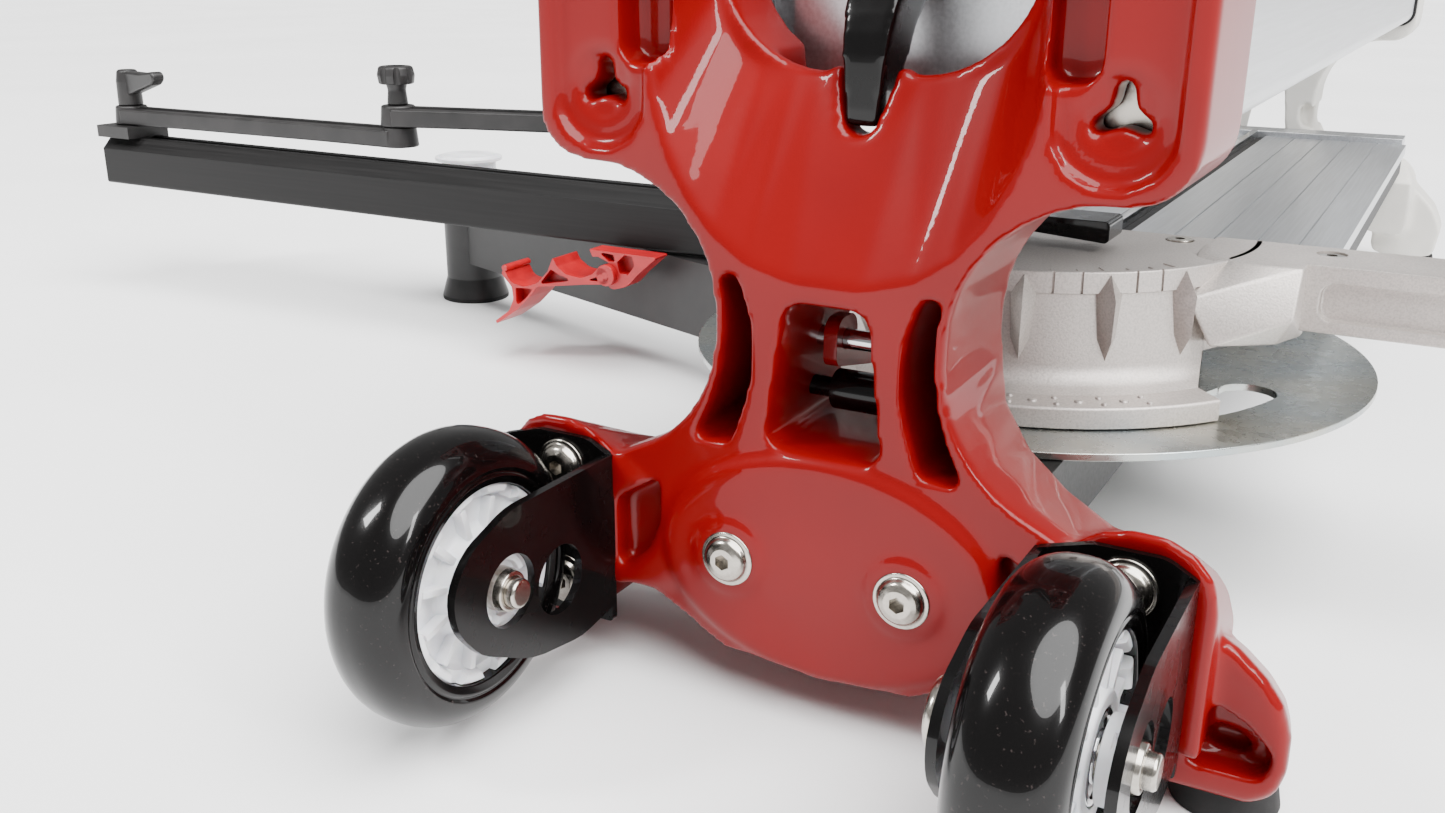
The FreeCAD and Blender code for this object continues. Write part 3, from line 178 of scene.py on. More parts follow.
def outline(corners, plane, level=0.0):
    """Flat face on (u, v, radius) corners, each rounded by its own radius."""
    bm = bmesh.new()
    put = at_level(plane, level)
    points = [bm.verts.new(put(u, v)) for u, v, _ in corners]
    bm.faces.new(points)
    for index, (u, v, radius) in enumerate(corners):
        if radius == 0:
            continue
        here = Vector((u, v))
        into = Vector(corners[index - 1][:2]) - here
        out = Vector(corners[(index + 1) % len(corners)][:2]) - here
        half = into.angle(out) / 2
        steps = max(2, round((math.pi - 2 * half) / math.radians(11)))
        bmesh.ops.bevel(bm, geom=[points[index]], offset=radius / math.tan(half), offset_type="OFFSET",
                        segments=steps, profile=0.5, material=-1, affect="VERTICES")
    return bm


def prism(corners, plane, start, length):
    """Solid of one outline, drawn out from start by length at right angles to its plane."""
    bm = outline(corners, plane, start)
    normal = {"XZ": ALONG["Y"], "YZ": ALONG["X"], "XY": ALONG["Z"]}[plane]
    made = bmesh.ops.extrude_face_region(bm, geom=bm.faces[:])
    moved = [item for item in made["geom"] if isinstance(item, bmesh.types.BMVert)]
    bmesh.ops.translate(bm, vec=normal * length, verts=moved)
    bmesh.ops.recalc_face_normals(bm, faces=bm.faces[:])
    return bm


def box(x0, x1, y0, y1, z0, z1):
    """Block between two values on each axis."""
    bm = bmesh.new()
    bmesh.ops.create_cube(bm, size=1.0)
    middle = Matrix.Translation(((x0 + x1) / 2, (y0 + y1) / 2, (z0 + z1) / 2))
    bmesh.ops.transform(bm, verts=bm.verts, matrix=middle @ Matrix.Diagonal((x1 - x0, y1 - y0, z1 - z0, 1)))
    return bm


def turned(section, centre, axis, steps=72):
    """Solid turned about an axis through centre, from (along, radius, rounding) corners of its section."""
    bm = outline(section, "XY")
    bmesh.ops.delete(bm, geom=bm.faces[:], context="FACES_ONLY")
    bmesh.ops.spin(bm, geom=bm.verts[:] + bm.edges[:], cent=(0, 0, 0), axis=ALONG["X"], angle=math.tau,
                   steps=steps, use_merge=True)
    bmesh.ops.remove_doubles(bm, verts=bm.verts, dist=1e-4)
    bmesh.ops.dissolve_degenerate(bm, dist=1e-5, edges=bm.edges[:])
    loose = [edge for edge in bm.edges if not edge.link_faces]
    bmesh.ops.delete(bm, geom=loose, context="EDGES")
    bmesh.ops.recalc_face_normals(bm, faces=bm.faces[:])
    turn = {"X": Matrix.Identity(4), "Y": Matrix.Rotation(math.pi / 2, 4, "Z"),
            "Z": Matrix.Rotation(-math.pi / 2, 4, "Y")}[axis]
    bmesh.ops.transform(bm, verts=bm.verts, matrix=Matrix.Translation(centre) @ turn)
    return bm


def rod(radius, length, centre, axis, ease=0.0, steps=48):
    """Round bar starting at centre and running along the axis."""
    return turned([(0, 0, 0), (length, 0, 0), (length, radius, ease), (0, radius, ease)], centre, axis, steps)


def hexagon(radius, depth):
    """Six-sided bar along Z about the origin, the shape of a key's socket."""
    bm = bmesh.new()
    bmesh.ops.create_cone(bm, cap_ends=True, segments=6, radius1=radius, radius2=radius, depth=depth)
    return bm


def hull(points):
    """Smallest convex solid round the points."""
    bm = bmesh.new()
    for point in points:
        bm.verts.new(point)
    made = bmesh.ops.convex_hull(bm, input=bm.verts[:])
    inside = [item for item in made["geom_interior"] if isinstance(item, bmesh.types.BMVert)]
    bmesh.ops.delete(bm, geom=inside, context="VERTS")
    bmesh.ops.recalc_face_normals(bm, faces=bm.faces[:])
    return bm


def loft(front, start, rear, end):
    """Solid between two outlines of equally many points, the front one at start and the rear one at end."""
    whole = joined(outline([(u, v, 0) for u, v in front], "XZ", start),
                   outline([(u, v, 0) for u, v in rear], "XZ", end))
    bmesh.ops.delete(whole, geom=whole.faces[:], context="FACES_ONLY")
    bmesh.ops.bridge_loops(whole, edges=whole.edges[:])
    bmesh.ops.holes_fill(whole, edges=whole.edges[:], sides=0)
    bmesh.ops.recalc_face_normals(whole, faces=whole.faces[:])
    return whole


def moved(bm, x=0.0, y=0.0, z=0.0):
    """The same bmesh, shifted."""
    bmesh.ops.translate(bm, vec=(x, y, z), verts=bm.verts)
    return bm


def rotated(bm, degrees, axis, centre):
    """The same bmesh, turned about an axis through centre."""
    bmesh.ops.rotate(bm, cent=centre, matrix=Matrix.Rotation(math.radians(degrees), 3, axis), verts=bm.verts)
    return bm


def mirrored(bm):
    """The same bmesh, carried over to the other side of the machine."""
    bmesh.ops.scale(bm, vec=(-1, 1, 1), verts=bm.verts)
    bmesh.ops.reverse_faces(bm, faces=bm.faces[:])
    return bm


def joined(*parts):
    """One bmesh that holds all the parts, which are freed."""
    whole = bmesh.new()
    for part in parts:
        mesh = bpy.data.meshes.new("part")
        part.to_mesh(mesh)
        whole.from_mesh(mesh)
        bpy.data.meshes.remove(mesh)
        part.free()
    return whole


def symmetric(right_side):
    """Corners of a whole outline, from those of its right half, top to bottom."""
    return right_side + [(-u, v, radius) for u, v, radius in reversed(right_side)]


def eased(bm, width, segments=2, angle=EASED_ANGLE):
    """Round every edge that is sharper than the angle."""
    bm.normal_update()
    sharp = [e for e in bm.edges if len(e.link_faces) == 2 and e.calc_face_angle(0) > angle]
    bmesh.ops.bevel(bm, geom=sharp, offset=width, offset_type="OFFSET", segments=segments, profile=0.5,
                    material=-1, affect="EDGES", clamp_overlap=True)
    return bm


def stand_in(bm):
    """Short-lived object that carries bm's shape through a modifier."""
    mesh = bpy.data.meshes.new("work")
    bm.to_mesh(mesh)
    bm.free()
    work = bpy.data.objects.new("work", mesh)
    bpy.context.scene.collection.objects.link(work)
    return work


def worked(works):
    """The first object's mesh with its modifiers applied; all the objects are removed."""
    depsgraph = bpy.context.evaluated_depsgraph_get()
    mesh = bpy.data.meshes.new_from_object(works[0].evaluated_get(depsgraph), depsgraph=depsgraph)
    bm = bmesh.new()
    bm.from_mesh(mesh)
    bpy.data.meshes.remove(mesh)
    for work in works:
        data = work.data
        bpy.data.objects.remove(work)
        bpy.data.meshes.remove(data)
    return bm


def combined(bm, operation, others):
    """Boolean of bm with all the others, which are used up."""
    works = [stand_in(bm)] + [stand_in(other) for other in others]
    for other in works[1:]:
        modifier = works[0].modifiers.new("combine", "BOOLEAN")
        modifier.operation = operation
        modifier.solver = "EXACT"
        modifier.object = other
    result = worked(works)
    bmesh.ops.remove_doubles(result, verts=result.verts, dist=WELD)
    return result


def cut(bm, *cutters):
    """The solid bm with the cutters taken out of it."""
    return combined(bm, "DIFFERENCE", cutters)


def fused(bm, *others):
    """One solid of bm and the others."""
    return combined(bm, "UNION", others)


def cast(bm, grid, softness):
    """One soft-edged skin over everything in bm, as a casting has."""
    work = stand_in(bm)
    remesh = work.modifiers.new("skin", "REMESH")
    remesh.mode = "VOXEL"
    remesh.voxel_size = grid
    smooth = work.modifiers.new("soften", "SMOOTH")
    smooth.factor = 0.5
    smooth.iterations = softness
    return worked([work])


def piece(name, bm, body, finish, nodes=(), sharp=SHARP_ANGLE, flats=True):
    """Put the finished shape in the model's frame as an object that moves with its body."""
    bmesh.ops.transform(bm, verts=bm.verts, matrix=ROW_FRAME)
    mesh = bpy.data.meshes.new(name)
    bm.to_mesh(mesh)
    bm.free()
    for polygon in mesh.polygons:
        polygon.use_smooth = True
    mesh.set_sharp_from_angle(angle=sharp)
    obj = bpy.data.objects.new(name, mesh)
    bpy.context.scene.collection.objects.link(obj)
    mesh.materials.append(finish_of(finish))
    if flats:
        weighted = obj.modifiers.new("flats", "WEIGHTED_NORMAL")
        weighted.keep_sharp = True
    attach(obj, body)
    if nodes:
        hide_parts(*nodes)
    return obj


def node_shape(node):
    """Closed copy of a node's shape in working millimetres, its flat faces whole."""
    bm = bmesh.new()
    bm.from_mesh(frame["nodes"][node].data)
    bmesh.ops.transform(bm, verts=bm.verts, matrix=ROW_FRAME.inverted())
    bmesh.ops.remove_doubles(bm, verts=bm.verts, dist=WELD)
    bmesh.ops.dissolve_limit(bm, angle_limit=math.radians(0.6), verts=bm.verts[:], edges=bm.edges[:])
    return bm


def body_of(node):
    """Name of the moving body that a node belongs to."""
    return frame["nodes"][node]["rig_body"]


def slots_of_nodes():
    """Material slot of every node, as the record gives it."""
    return {part["node"]: part["material_slot"] for part in frame["record"]["subparts"]}


def machined(name, node, body, finish, width):
    """The node's own shape with its edges broken, as machining and tumbling leave them."""
    return piece(name, eased(node_shape(node), width), body, finish, [node])


def sizes():
    """The scene's size settings."""
    return bpy.context.scene.cutter_sizes


def colours():
    """The scene's colour settings."""
    return bpy.context.scene.cutter_colours


# ================================================================ finishes
def linear(text):
    """Linear RGBA from an sRGB hex value."""
    values = [int(text[i:i + 2], 16) / 255 for i in (0, 2, 4)]
    return [v / 12.92 if v <= 0.04045 else ((v + 0.055) / 1.055) ** 2.4 for v in values] + [1.0]


def add(tree, kind, links=(), **settings):
    """Add a node; a setting is a property or an input value, and links are (input, source socket) pairs."""
    node = tree.nodes.new(kind)
    for key, value in settings.items():
        if hasattr(node, key):
            setattr(node, key, value)
        else:
            node.inputs[key.replace("_", " ")].default_value = value
    for target, source in links:
        tree.links.new(source, node.inputs[target])
    return node


def surface(name, **values):
    """New material, its tree, its principled shader and its coordinates."""
    material = bpy.data.materials.new(name)
    material.use_nodes = True
    tree = material.node_tree
    shader = tree.nodes["Principled BSDF"]
    for key, value in values.items():
        shader.inputs[key.replace("_", " ")].default_value = value
    where = tree.nodes.new("ShaderNodeTexCoord").outputs["Object"]
    return material, tree, shader, where


def per_mm(size):
    """Noise scale whose grains are about size millimetres, on coordinates in metres."""
    return 1.0 / (size * MM)


def grain(tree, where, size, detail=3.0, stretch=None):
    """Noise with grains of the given size, drawn out along one axis if stretch says so."""
    if stretch:
        where = add(tree, "ShaderNodeMapping", [("Vector", where)], Scale=stretch).outputs["Vector"]
    noise = add(tree, "ShaderNodeTexNoise", [("Vector", where)], Scale=per_mm(size), Detail=detail)
    return noise.outputs["Fac"]


def spread(tree, value, low, high):
    """The value, from 0 to 1, laid out between low and high."""
    return add(tree, "ShaderNodeMapRange", [("Value", value)], To_Min=low, To_Max=high).outputs["Result"]


def blend(tree, value, first, second, low=0.35, high=0.65):
    """Colour that passes from first to second as the value passes from low to high."""
    ramp = add(tree, "ShaderNodeValToRGB", [("Fac", value)])
    ramp.color_ramp.elements[0].position = low
    ramp.color_ramp.elements[0].color = first
    ramp.color_ramp.elements[1].position = high
    ramp.color_ramp.elements[1].color = second
    return ramp.outputs["Color"]


def relief(tree, shader, height, strength, depth):
    """Fine relief, depth in millimetres, too shallow to be modelled."""
    bump = add(tree, "ShaderNodeBump", [("Height", height)], Strength=strength, Distance=depth * MM)
    tree.links.new(bump.outputs["Normal"], shader.inputs["Normal"])


def shade(text, factor):
    """Linear RGBA of a hex value, darkened by the factor."""
    return [channel * factor for channel in linear(text)[:3]] + [1.0]


def red_gloss_enamel():
    # Stove enamel over sand-cast aluminium: deep gloss with a faint orange peel and slow casting waves.
    base = colours().enamel
    material, tree, shader, where = surface("red_gloss_enamel", Roughness=0.4, Coat_Weight=0.32,
                                            Coat_Roughness=0.035, Specular_IOR_Level=0.1)
    tone = blend(tree, grain(tree, where, 60, 2), shade(base, 0.86), linear(base))
    tree.links.new(tone, shader.inputs["Base Color"])
    peel = grain(tree, where, 2.6, 2)
    waves = grain(tree, where, 22, 1)
    height = add(tree, "ShaderNodeMath", [(0, waves), (2, peel)], operation="MULTIPLY_ADD")
    height.inputs[1].default_value = 5.0        # the waves are this much higher than the peel
    relief(tree, shader, height.outputs[0], 0.22, 0.06)
    return material


def pale_enamel():
    # Textured powder coat over cast aluminium: matt, with fine grit that softens every highlight.
    base = colours().rear_enamel
    material, tree, shader, where = surface("pale_powder_coat", Roughness=0.5)
    tone = blend(tree, grain(tree, where, 40), shade(base, 0.88), linear(base))
    tree.links.new(tone, shader.inputs["Base Color"])
    relief(tree, shader, grain(tree, where, 0.8), 0.25, 0.1)
    return material


def black_enamel():
    # Gloss black electro-coat on bent sheet steel: near-mirror, with a little dust and soft ripples.
    material, tree, shader, where = surface("black_gloss_enamel", Base_Color=linear("070606"),
                                            Coat_Weight=0.35, Coat_Roughness=0.05, Specular_IOR_Level=0.1)
    tree.links.new(spread(tree, grain(tree, where, 9), 0.18, 0.34), shader.inputs["Roughness"])
    relief(tree, shader, grain(tree, where, 3.5, 2), 0.12, 0.05)
    return material


def brushed(name, colour, rough, size, stretch, strength=0.2, depth=0.03):
    """Metal drawn or ground along one direction."""
    material, tree, shader, where = surface(name, Metallic=1.0)
    lines = grain(tree, where, size, 4, stretch)
    tree.links.new(blend(tree, lines, shade(colour, 0.84), linear(colour)), shader.inputs["Base Color"])
    tree.links.new(spread(tree, lines, rough[0], rough[1]), shader.inputs["Roughness"])
    relief(tree, shader, lines, strength, depth)
    return material


def anodised_aluminium():
    # Extruded and satin anodised: fine draw lines along the length, soft wide highlights.
    return brushed("satin_anodised_aluminium", colours().aluminium, (0.26, 0.42), 1.6, (1.0, 0.02, 1.0))


def cast_aluminium():
    # Sand cast and shot blasted: bright grains of about 0.8 mm, drawn coarser than real so that they show.
    base = colours().cast
    material, tree, shader, where = surface("blasted_cast_aluminium", Metallic=0.75)
    grit = grain(tree, where, 0.8, 4)
    patches = grain(tree, where, 25, 2)
    tone = blend(tree, grit, shade(base, 0.78), linear(base), 0.3, 0.6)
    tree.links.new(tone, shader.inputs["Base Color"])
    tree.links.new(spread(tree, patches, 0.42, 0.6), shader.inputs["Roughness"])
    relief(tree, shader, grit, 0.55, 0.16)
    return material


def black_aluminium():
    # Black anodised extrusion: satin, with draw lines along X.
    material, tree, shader, where = surface("black_anodised_aluminium", Specular_IOR_Level=0.25)
    lines = grain(tree, where, 1.8, 4, (0.02, 1.0, 1.0))
    tree.links.new(blend(tree, lines, linear("0A0909"), linear("151414")), shader.inputs["Base Color"])
    tree.links.new(spread(tree, lines, 0.42, 0.6), shader.inputs["Roughness"])
    relief(tree, shader, lines, 0.15, 0.03)
    return material


def zinc_steel():
    # Blue-passivated zinc plate on rolled steel: cloudy blue and straw tints over fine rolling lines.
    material, tree, shader, where = surface("zinc_plated_steel", Metallic=1.0)
    clouds = grain(tree, where, 38, 5)
    tints = blend(tree, clouds, linear(colours().zinc), linear(colours().zinc_straw), 0.3, 0.75)
    tree.links.new(tints, shader.inputs["Base Color"])
    tree.links.new(spread(tree, grain(tree, where, 6, 6), 0.16, 0.4), shader.inputs["Roughness"])
    relief(tree, shader, grain(tree, where, 1.5, 4, (0.06, 1.0, 1.0)), 0.18, 0.03)
    return material


def stainless():
    # Cold-headed stainless steel: bright, with fine forming marks.
    return brushed("bright_stainless_steel", "B7B1A8", (0.14, 0.3), 1.2, None, 0.15, 0.02)


def chrome_steel():
    # Ground and hard chromed: near-mirror with faint grinding lines.
    return brushed("chromed_steel", "D0D1D3", (0.06, 0.16), 1.0, (0.05, 1.0, 1.0), 0.08, 0.01)


def hard_metal():
    # Sintered carbide, ground: dark grey, fine and even.
    return brushed("ground_carbide", "77787C", (0.2, 0.3), 0.8, None, 0.1, 0.01)


def spring_steel():
    # Oil-hardened spring wire: dark, slightly blotched.
    return brushed("spring_wire", "6E6B68", (0.3, 0.45), 4.0, None, 0.15, 0.03)


def rubber():
    # Moulded nitrile rubber: matt black with a fine bloom.
    material, tree, shader, where = surface("moulded_rubber", Specular_IOR_Level=0.35)
    bloom = grain(tree, where, 5, 5)
    tree.links.new(blend(tree, bloom, linear("0D0D0D"), linear("1C1B1B")), shader.inputs["Base Color"])
    tree.links.new(spread(tree, bloom, 0.6, 0.82), shader.inputs["Roughness"])
    relief(tree, shader, grain(tree, where, 0.7), 0.25, 0.06)
    return material


def tyre_urethane():
    # Cast polyurethane tread: glassy black skin, flow marks from the mould and a few dust specks.
    material, tree, shader, where = surface("cast_polyurethane", Coat_Weight=0.4, Coat_Roughness=0.02,
                                            Specular_IOR_Level=0.1)
    flow = grain(tree, where, 14, 6, (1.0, 1.0, 0.4))
    specks = grain(tree, where, 1.1, 2)
    skin = blend(tree, specks, linear("060505"), linear("2B2524"), 0.66, 0.74)
    tree.links.new(skin, shader.inputs["Base Color"])
    tree.links.new(spread(tree, flow, 0.12, 0.3), shader.inputs["Roughness"])
    relief(tree, shader, flow, 0.2, 0.12)
    return material


def white_plastic():
    # Injection-moulded white nylon: satin, slightly translucent, fine spark-eroded texture.
    material, tree, shader, where = surface("moulded_white_nylon", Subsurface_Weight=0.08,
                                            Subsurface_Scale=0.004)
    cloud = grain(tree, where, 12)
    tree.links.new(blend(tree, cloud, linear("DCDCE0"), linear("F0F0F2")), shader.inputs["Base Color"])
    tree.links.new(spread(tree, cloud, 0.3, 0.42), shader.inputs["Roughness"])
    relief(tree, shader, grain(tree, where, 0.9), 0.12, 0.04)
    return material


def black_plastic():
    # Glass-filled nylon, moulded: dark satin with a fine leathery grain and paler worn flats.
    material, tree, shader, where = surface("glass_filled_nylon", Specular_IOR_Level=0.45)
    patches = grain(tree, where, 18, 4)
    tree.links.new(blend(tree, patches, linear("151414"), linear("242222")), shader.inputs["Base Color"])
    tree.links.new(spread(tree, patches, 0.36, 0.52), shader.inputs["Roughness"])
    relief(tree, shader, grain(tree, where, 0.9, 4), 0.3, 0.08)
    return material


def red_plastic():
    # Injection-moulded polypropylene: even dark red, satin, with faint flow lines.
    base = colours().clip
    material, tree, shader, where = surface("moulded_red_polypropylene", Subsurface_Weight=0.05,
                                            Subsurface_Scale=0.003)
    flow = grain(tree, where, 10, 3, (0.3, 1.0, 1.0))
    tree.links.new(blend(tree, flow, shade(base, 0.75), linear(base)), shader.inputs["Base Color"])
    tree.links.new(spread(tree, flow, 0.28, 0.42), shader.inputs["Roughness"])
    relief(tree, shader, grain(tree, where, 0.8), 0.12, 0.04)
    return material


FINISHES = {
    "red_enamel": red_gloss_enamel, "grey_enamel": pale_enamel, "black_enamel": black_enamel,
    "anodised_aluminium": anodised_aluminium, "cast_aluminium": cast_aluminium,
    "black_aluminium": black_aluminium, "zinc_steel": zinc_steel, "stainless": stainless,
    "chrome_steel": chrome_steel, "hard_metal": hard_metal, "rubber": rubber, "tyre": tyre_urethane,
    "white_plastic": white_plastic, "black_plastic": black_plastic, "red_plastic": red_plastic,
    "spring_steel": spring_steel,
}
MADE = {}


def finish_of(slot):
    """The slot's material, made when it is first asked for."""
    if slot not in MADE:
        MADE[slot] = FINISHES[slot]()
    return MADE[slot]


# ================================================================ front casting
EAR_HALF = 107.0                        # the ears, from the middle and from the ground
EAR_TOP = 290.0
EAR_BOTTOM = 187.0
OVER = EAR_TOP + 10                     # cutters that open the top end here
WAIST_HALF = 39.5
BELLY_BOTTOM = 19.6
RIM_Y = 28.0                            # rim of the scoop, behind the face
RIM_WALL = 6.0
SLOPE = -22.5                           # lean of the lip round the notch, in degrees
EAR_X = 84.0                            # middle of an ear, where its two star holes are
STAR_HEIGHTS = (211.5, 259.5)
OVAL_X, OVAL_Z = 2.0, 58.0              # middle of the raised oval
OVAL_SQUASH = 0.64                      # its height over its width
SEAT_ROOM = 0.6                         # a wheel bracket's seat is this much wider than the bracket
SEAT_RUNOUT = 6.0                       # and this much on the side where it runs out


def casting_column():
    """Ears, waist and belly in one slab."""
    return prism(symmetric([
        (EAR_HALF, EAR_TOP, 20), (EAR_HALF, EAR_BOTTOM, 18), (WAIST_HALF, EAR_BOTTOM, 46),
        (WAIST_HALF, 104, 45), (86, 82, 6), (90, 60, 6), (90, 36, 8), (64, 36, 12), (34, BELLY_BOTTOM, 14),
    ]), "XZ", 0, DEPTH)


def casting_wing():
    """Arched hood over the right wheel bracket, falling towards the rear."""
    front = [(56, 40), (66, 76), (78, 83), (84, 89), (91, 93.5), (100, 96), (110, 95.6), (118, 92),
             (124, 85), (126, 75), (126, 26), (66, 37)]
    rear = [(56, 40), (64, 60), (76, 66), (84, 69), (91, 70), (100, 69.5), (110, 66), (117, 61.5),
            (121, 56), (124, 46), (124, 26), (66, 37)]
    return loft(front, -1.4, rear, DEPTH)


def shoulder_room():
    """Space over the right shoulder, which falls away towards the rear."""
    front = [(41.5, 127), (45, 117), (54, 104), (66, 94.5), (86, 84.5), (136, 84.5), (136, 127), (90, 127)]
    rear = [(40.2, 125), (42.6, 108), (52, 92.5), (66.7, 79.6), (83, 70), (136, 60), (136, 125), (90, 125)]
    return loft(front, -PAST, rear, DEPTH + PAST)


def casting_lobe():
    """Rounded foot outside the hood."""
    front = [(98, 70), (122, 68), (132, 63), (141, 55), (146.5, 47.5), (149.5, 38), (150, 26),
             (148, 16), (140, 11), (98, 11)]
    rear = [(98, 50), (120, 50), (130, 44), (138, 37), (143.5, 29.5), (146, 22), (146, 15),
            (142, 12), (137, 11), (98, 11)]
    return eased(loft(front, 6, rear, 46), 4.5, 3)


def scoop():
    """Bowl between the ears: wide and deep at the face, shallow at the rim."""
    face = [(65, OVER), (65, 222), (62.5, 206), (57, 190), (49.5, 176.5), (40, 165.5), (28, 157.2),
            (12, 152.8)]
    rim = [(55, OVER), (55, 254), (53.6, 241), (50, 231), (45, 223.5), (37, 218.8), (26, 217), (12, 217)]
    face, rim = (half + [(-u, v) for u, v in reversed(half)] for half in (face, rim))
    return loft(face, -PAST, rim, RIM_Y)


def scoop_behind():
    """Room over the rim, and the well behind it."""
    over = prism(symmetric([(55, OVER, 0), (55, 250, 24), (40, 217, 34)]), "XZ", RIM_Y - 0.5, DEPTH)
    well = prism(symmetric([(44, OVER, 0), (30, 165, 12)]), "XZ", RIM_Y + RIM_WALL, DEPTH)
    return over, well


def notch():
    """Narrow slot below the rim that the lever's keel drops into."""
    return prism(symmetric([(9.2, 240, 0), (8.6, 214, 6), (4.4, 198.4, 4)]), "XZ", -PAST, DEPTH + 2 * PAST)


def notch_bead():
    """Raised lip round the notch, a solid that the notch is cut out of."""
    start = RIM_Y / 2
    bead = prism(symmetric([(15.0, 219, 3), (12.6, 212, 8), (7.0, 193.5, 6)]), "XZ", start,
                 RIM_WALL + RIM_Y - start)
    slope = rotated(box(-20, 20, -20, 0, 0, 70), SLOPE, "X", (0, 0, 0))
    return cut(bead, moved(slope, 0, 15.2, 188.0))


def crescent():
    """Curved pocket beside the central window."""
    return prism([(38, 154, 2), (33.4, 128, 60), (48, 96, 2.5), (33.5, 97.6, 2.5), (21.8, 132, 46),
                  (32.5, 155, 2)], "XZ", -PAST, 34 + PAST)


def ear_cutters():
    """Recessed panel, window, dished star holes and guide socket of the right ear."""
    cutters = [
        prism([(66, 191.5, 16), (100.5, 191.5, 16), (100.5, 285, 12), (66, 285, 12)], "XZ", -PAST, 4 + PAST),
        prism([(62, 218.5, 5), (77.5, 218.5, 6), (77.5, 253, 6), (62, 253, 5)], "XZ", -PAST, 17.5 + PAST),
        prism([(61.9, 200.9, 9), (103.1, 200.9, 9), (103.1, 281.1, 9), (61.9, 281.1, 9)], "XZ", 20, DEPTH),
    ]
    dish = [(-3, 0, 0), (5.4, 0, 0), (5.4, 11.2, 1.5), (-3, 13.2, 0)]
    for z in STAR_HEIGHTS:
        cutters.append(turned(dish, (EAR_X, 0, z), "Y", 48))
        cutters.append(prism(star_corners(EAR_X, z), "XZ", -PAST, 21 + PAST))
    return cutters


def star_corners(x, z):
    """Three blunt points, 120 degrees apart, with a rounded valley between each two."""
    tip_radius, tip_half, valley_radius = 9.4, 2.0, 3.4
    corners = []
    for turn in range(3):
        lean = math.radians(90 + 120 * turn)
        tip = Vector((math.cos(lean), math.sin(lean)))
        side = Vector((-tip.y, tip.x))
        valley = math.radians(150 + 120 * turn)
        for offset in (-tip_half, tip_half):
            point = tip * tip_radius + side * offset
            corners.append((x + point.x, z + point.y, 1.6))
        corners.append((x + valley_radius * math.cos(valley), z + valley_radius * math.sin(valley), 2.2))
    return corners


def belly_features():
    """Raised oval and screw pads on the face."""
    oval = turned([(-2.6, 0, 0), (6, 0, 0), (6, 61, 0), (-1.4, 61, 0.6), (-2.6, 59, 1.0)],
                  (OVAL_X, 0, OVAL_Z), "Y", 96)
    bmesh.ops.scale(oval, vec=(1, 1, OVAL_SQUASH), verts=oval.verts,
                    space=Matrix.Translation((0, 0, -OVAL_Z)))
    pad = [(-4.0, 0, 0), (6, 0, 0), (6, 14.8, 0), (-2.4, 14.8, 1), (-4.0, 12.6, 1)]
    return [oval] + [turned(pad, (side * SCREW_X, 0, SCREW_Z), "Y", 48) for side in (-1, 1)]


def casting_cutters():
    """Everything that is hollow or cut away in the middle slab."""
    cutters = [scoop(), *scoop_behind(), notch(), shoulder_room(), mirrored(shoulder_room())]
    cutters.append(prism(symmetric([(14, 147.5, 5), (20.5, 98.6, 5)]), "XZ", -PAST, DEPTH + 2 * PAST))
    cutters += [crescent(), mirrored(crescent())]
    cutters += ear_cutters() + [mirrored(cutter) for cutter in ear_cutters()]
    cutters += [side_pocket(), mirrored(side_pocket())]
    return cutters


def side_pocket():
    """Triangular hollow between the oval and a wheel bracket's seat."""
    return prism([(60.5, 80, 3), (61.5, 62, 16), (66, 51, 10), (79, 40, 3), (79, 68, 4)], "XZ", -4, 12.5)


def wing_cutters(bracket_low, bracket_high, side):
    """Seat of a wheel bracket in the wing's face; the left one runs out through the side."""
    low = bracket_low - (SEAT_RUNOUT if side < 0 else SEAT_ROOM)
    high = bracket_high + SEAT_ROOM
    seat = prism([(low, 16, 0), (high, 16, 0), (high, 90.5, 13), (low, 90.5, 13)], "XZ", -4, 4)
    return [seat, side_pocket() if side > 0 else mirrored(side_pocket())]


def lobe_pocket():
    """Two-step hollow in the face of the right lobe."""
    shape = prism([(121, 46, 3), (137, 38.5, 8), (145, 31, 5), (143.5, 21, 5), (121, 21, 3)], "XZ", 2, 13)
    step = prism([(121, 33, 3), (134, 31, 4), (139, 27, 3), (138, 24, 3), (121, 24, 3)], "XZ", 2, 20)
    return [shape, step]


def front_casting():
    """Front end support: the slab, its hoods, lobes and raised features under one cast skin."""
    parts = [cut(joined(casting_column()), *casting_cutters())]
    parts.append(cut(casting_wing(), *wing_cutters(BRACKET_LOW.x, BRACKET_HIGH.x, 1)))
    left_cutters = wing_cutters(LEFT_BRACKET_LOW.x, LEFT_BRACKET_HIGH.x, -1)
    parts.append(cut(mirrored(casting_wing()), *left_cutters))
    for side in (1, -1):
        lobe = cut(casting_lobe(), *lobe_pocket())
        parts.append(lobe if side > 0 else mirrored(lobe))
    parts += belly_features()
    parts.append(cut(notch_bead(), notch()))
    grid = round(sizes().casting_grid / MM, 4)
    skin = cast(joined(*parts), grid, sizes().casting_softness)
    holes = [rod(SCREW_BORE, DEPTH + 20, (side * SCREW_X, -10, SCREW_Z), "Y") for side in (-1, 1)]
    return piece("front_casting", cut(skin, *holes), "frame", "red_enamel", ["front_support"], flats=False,
                 sharp=CAST_ANGLE)


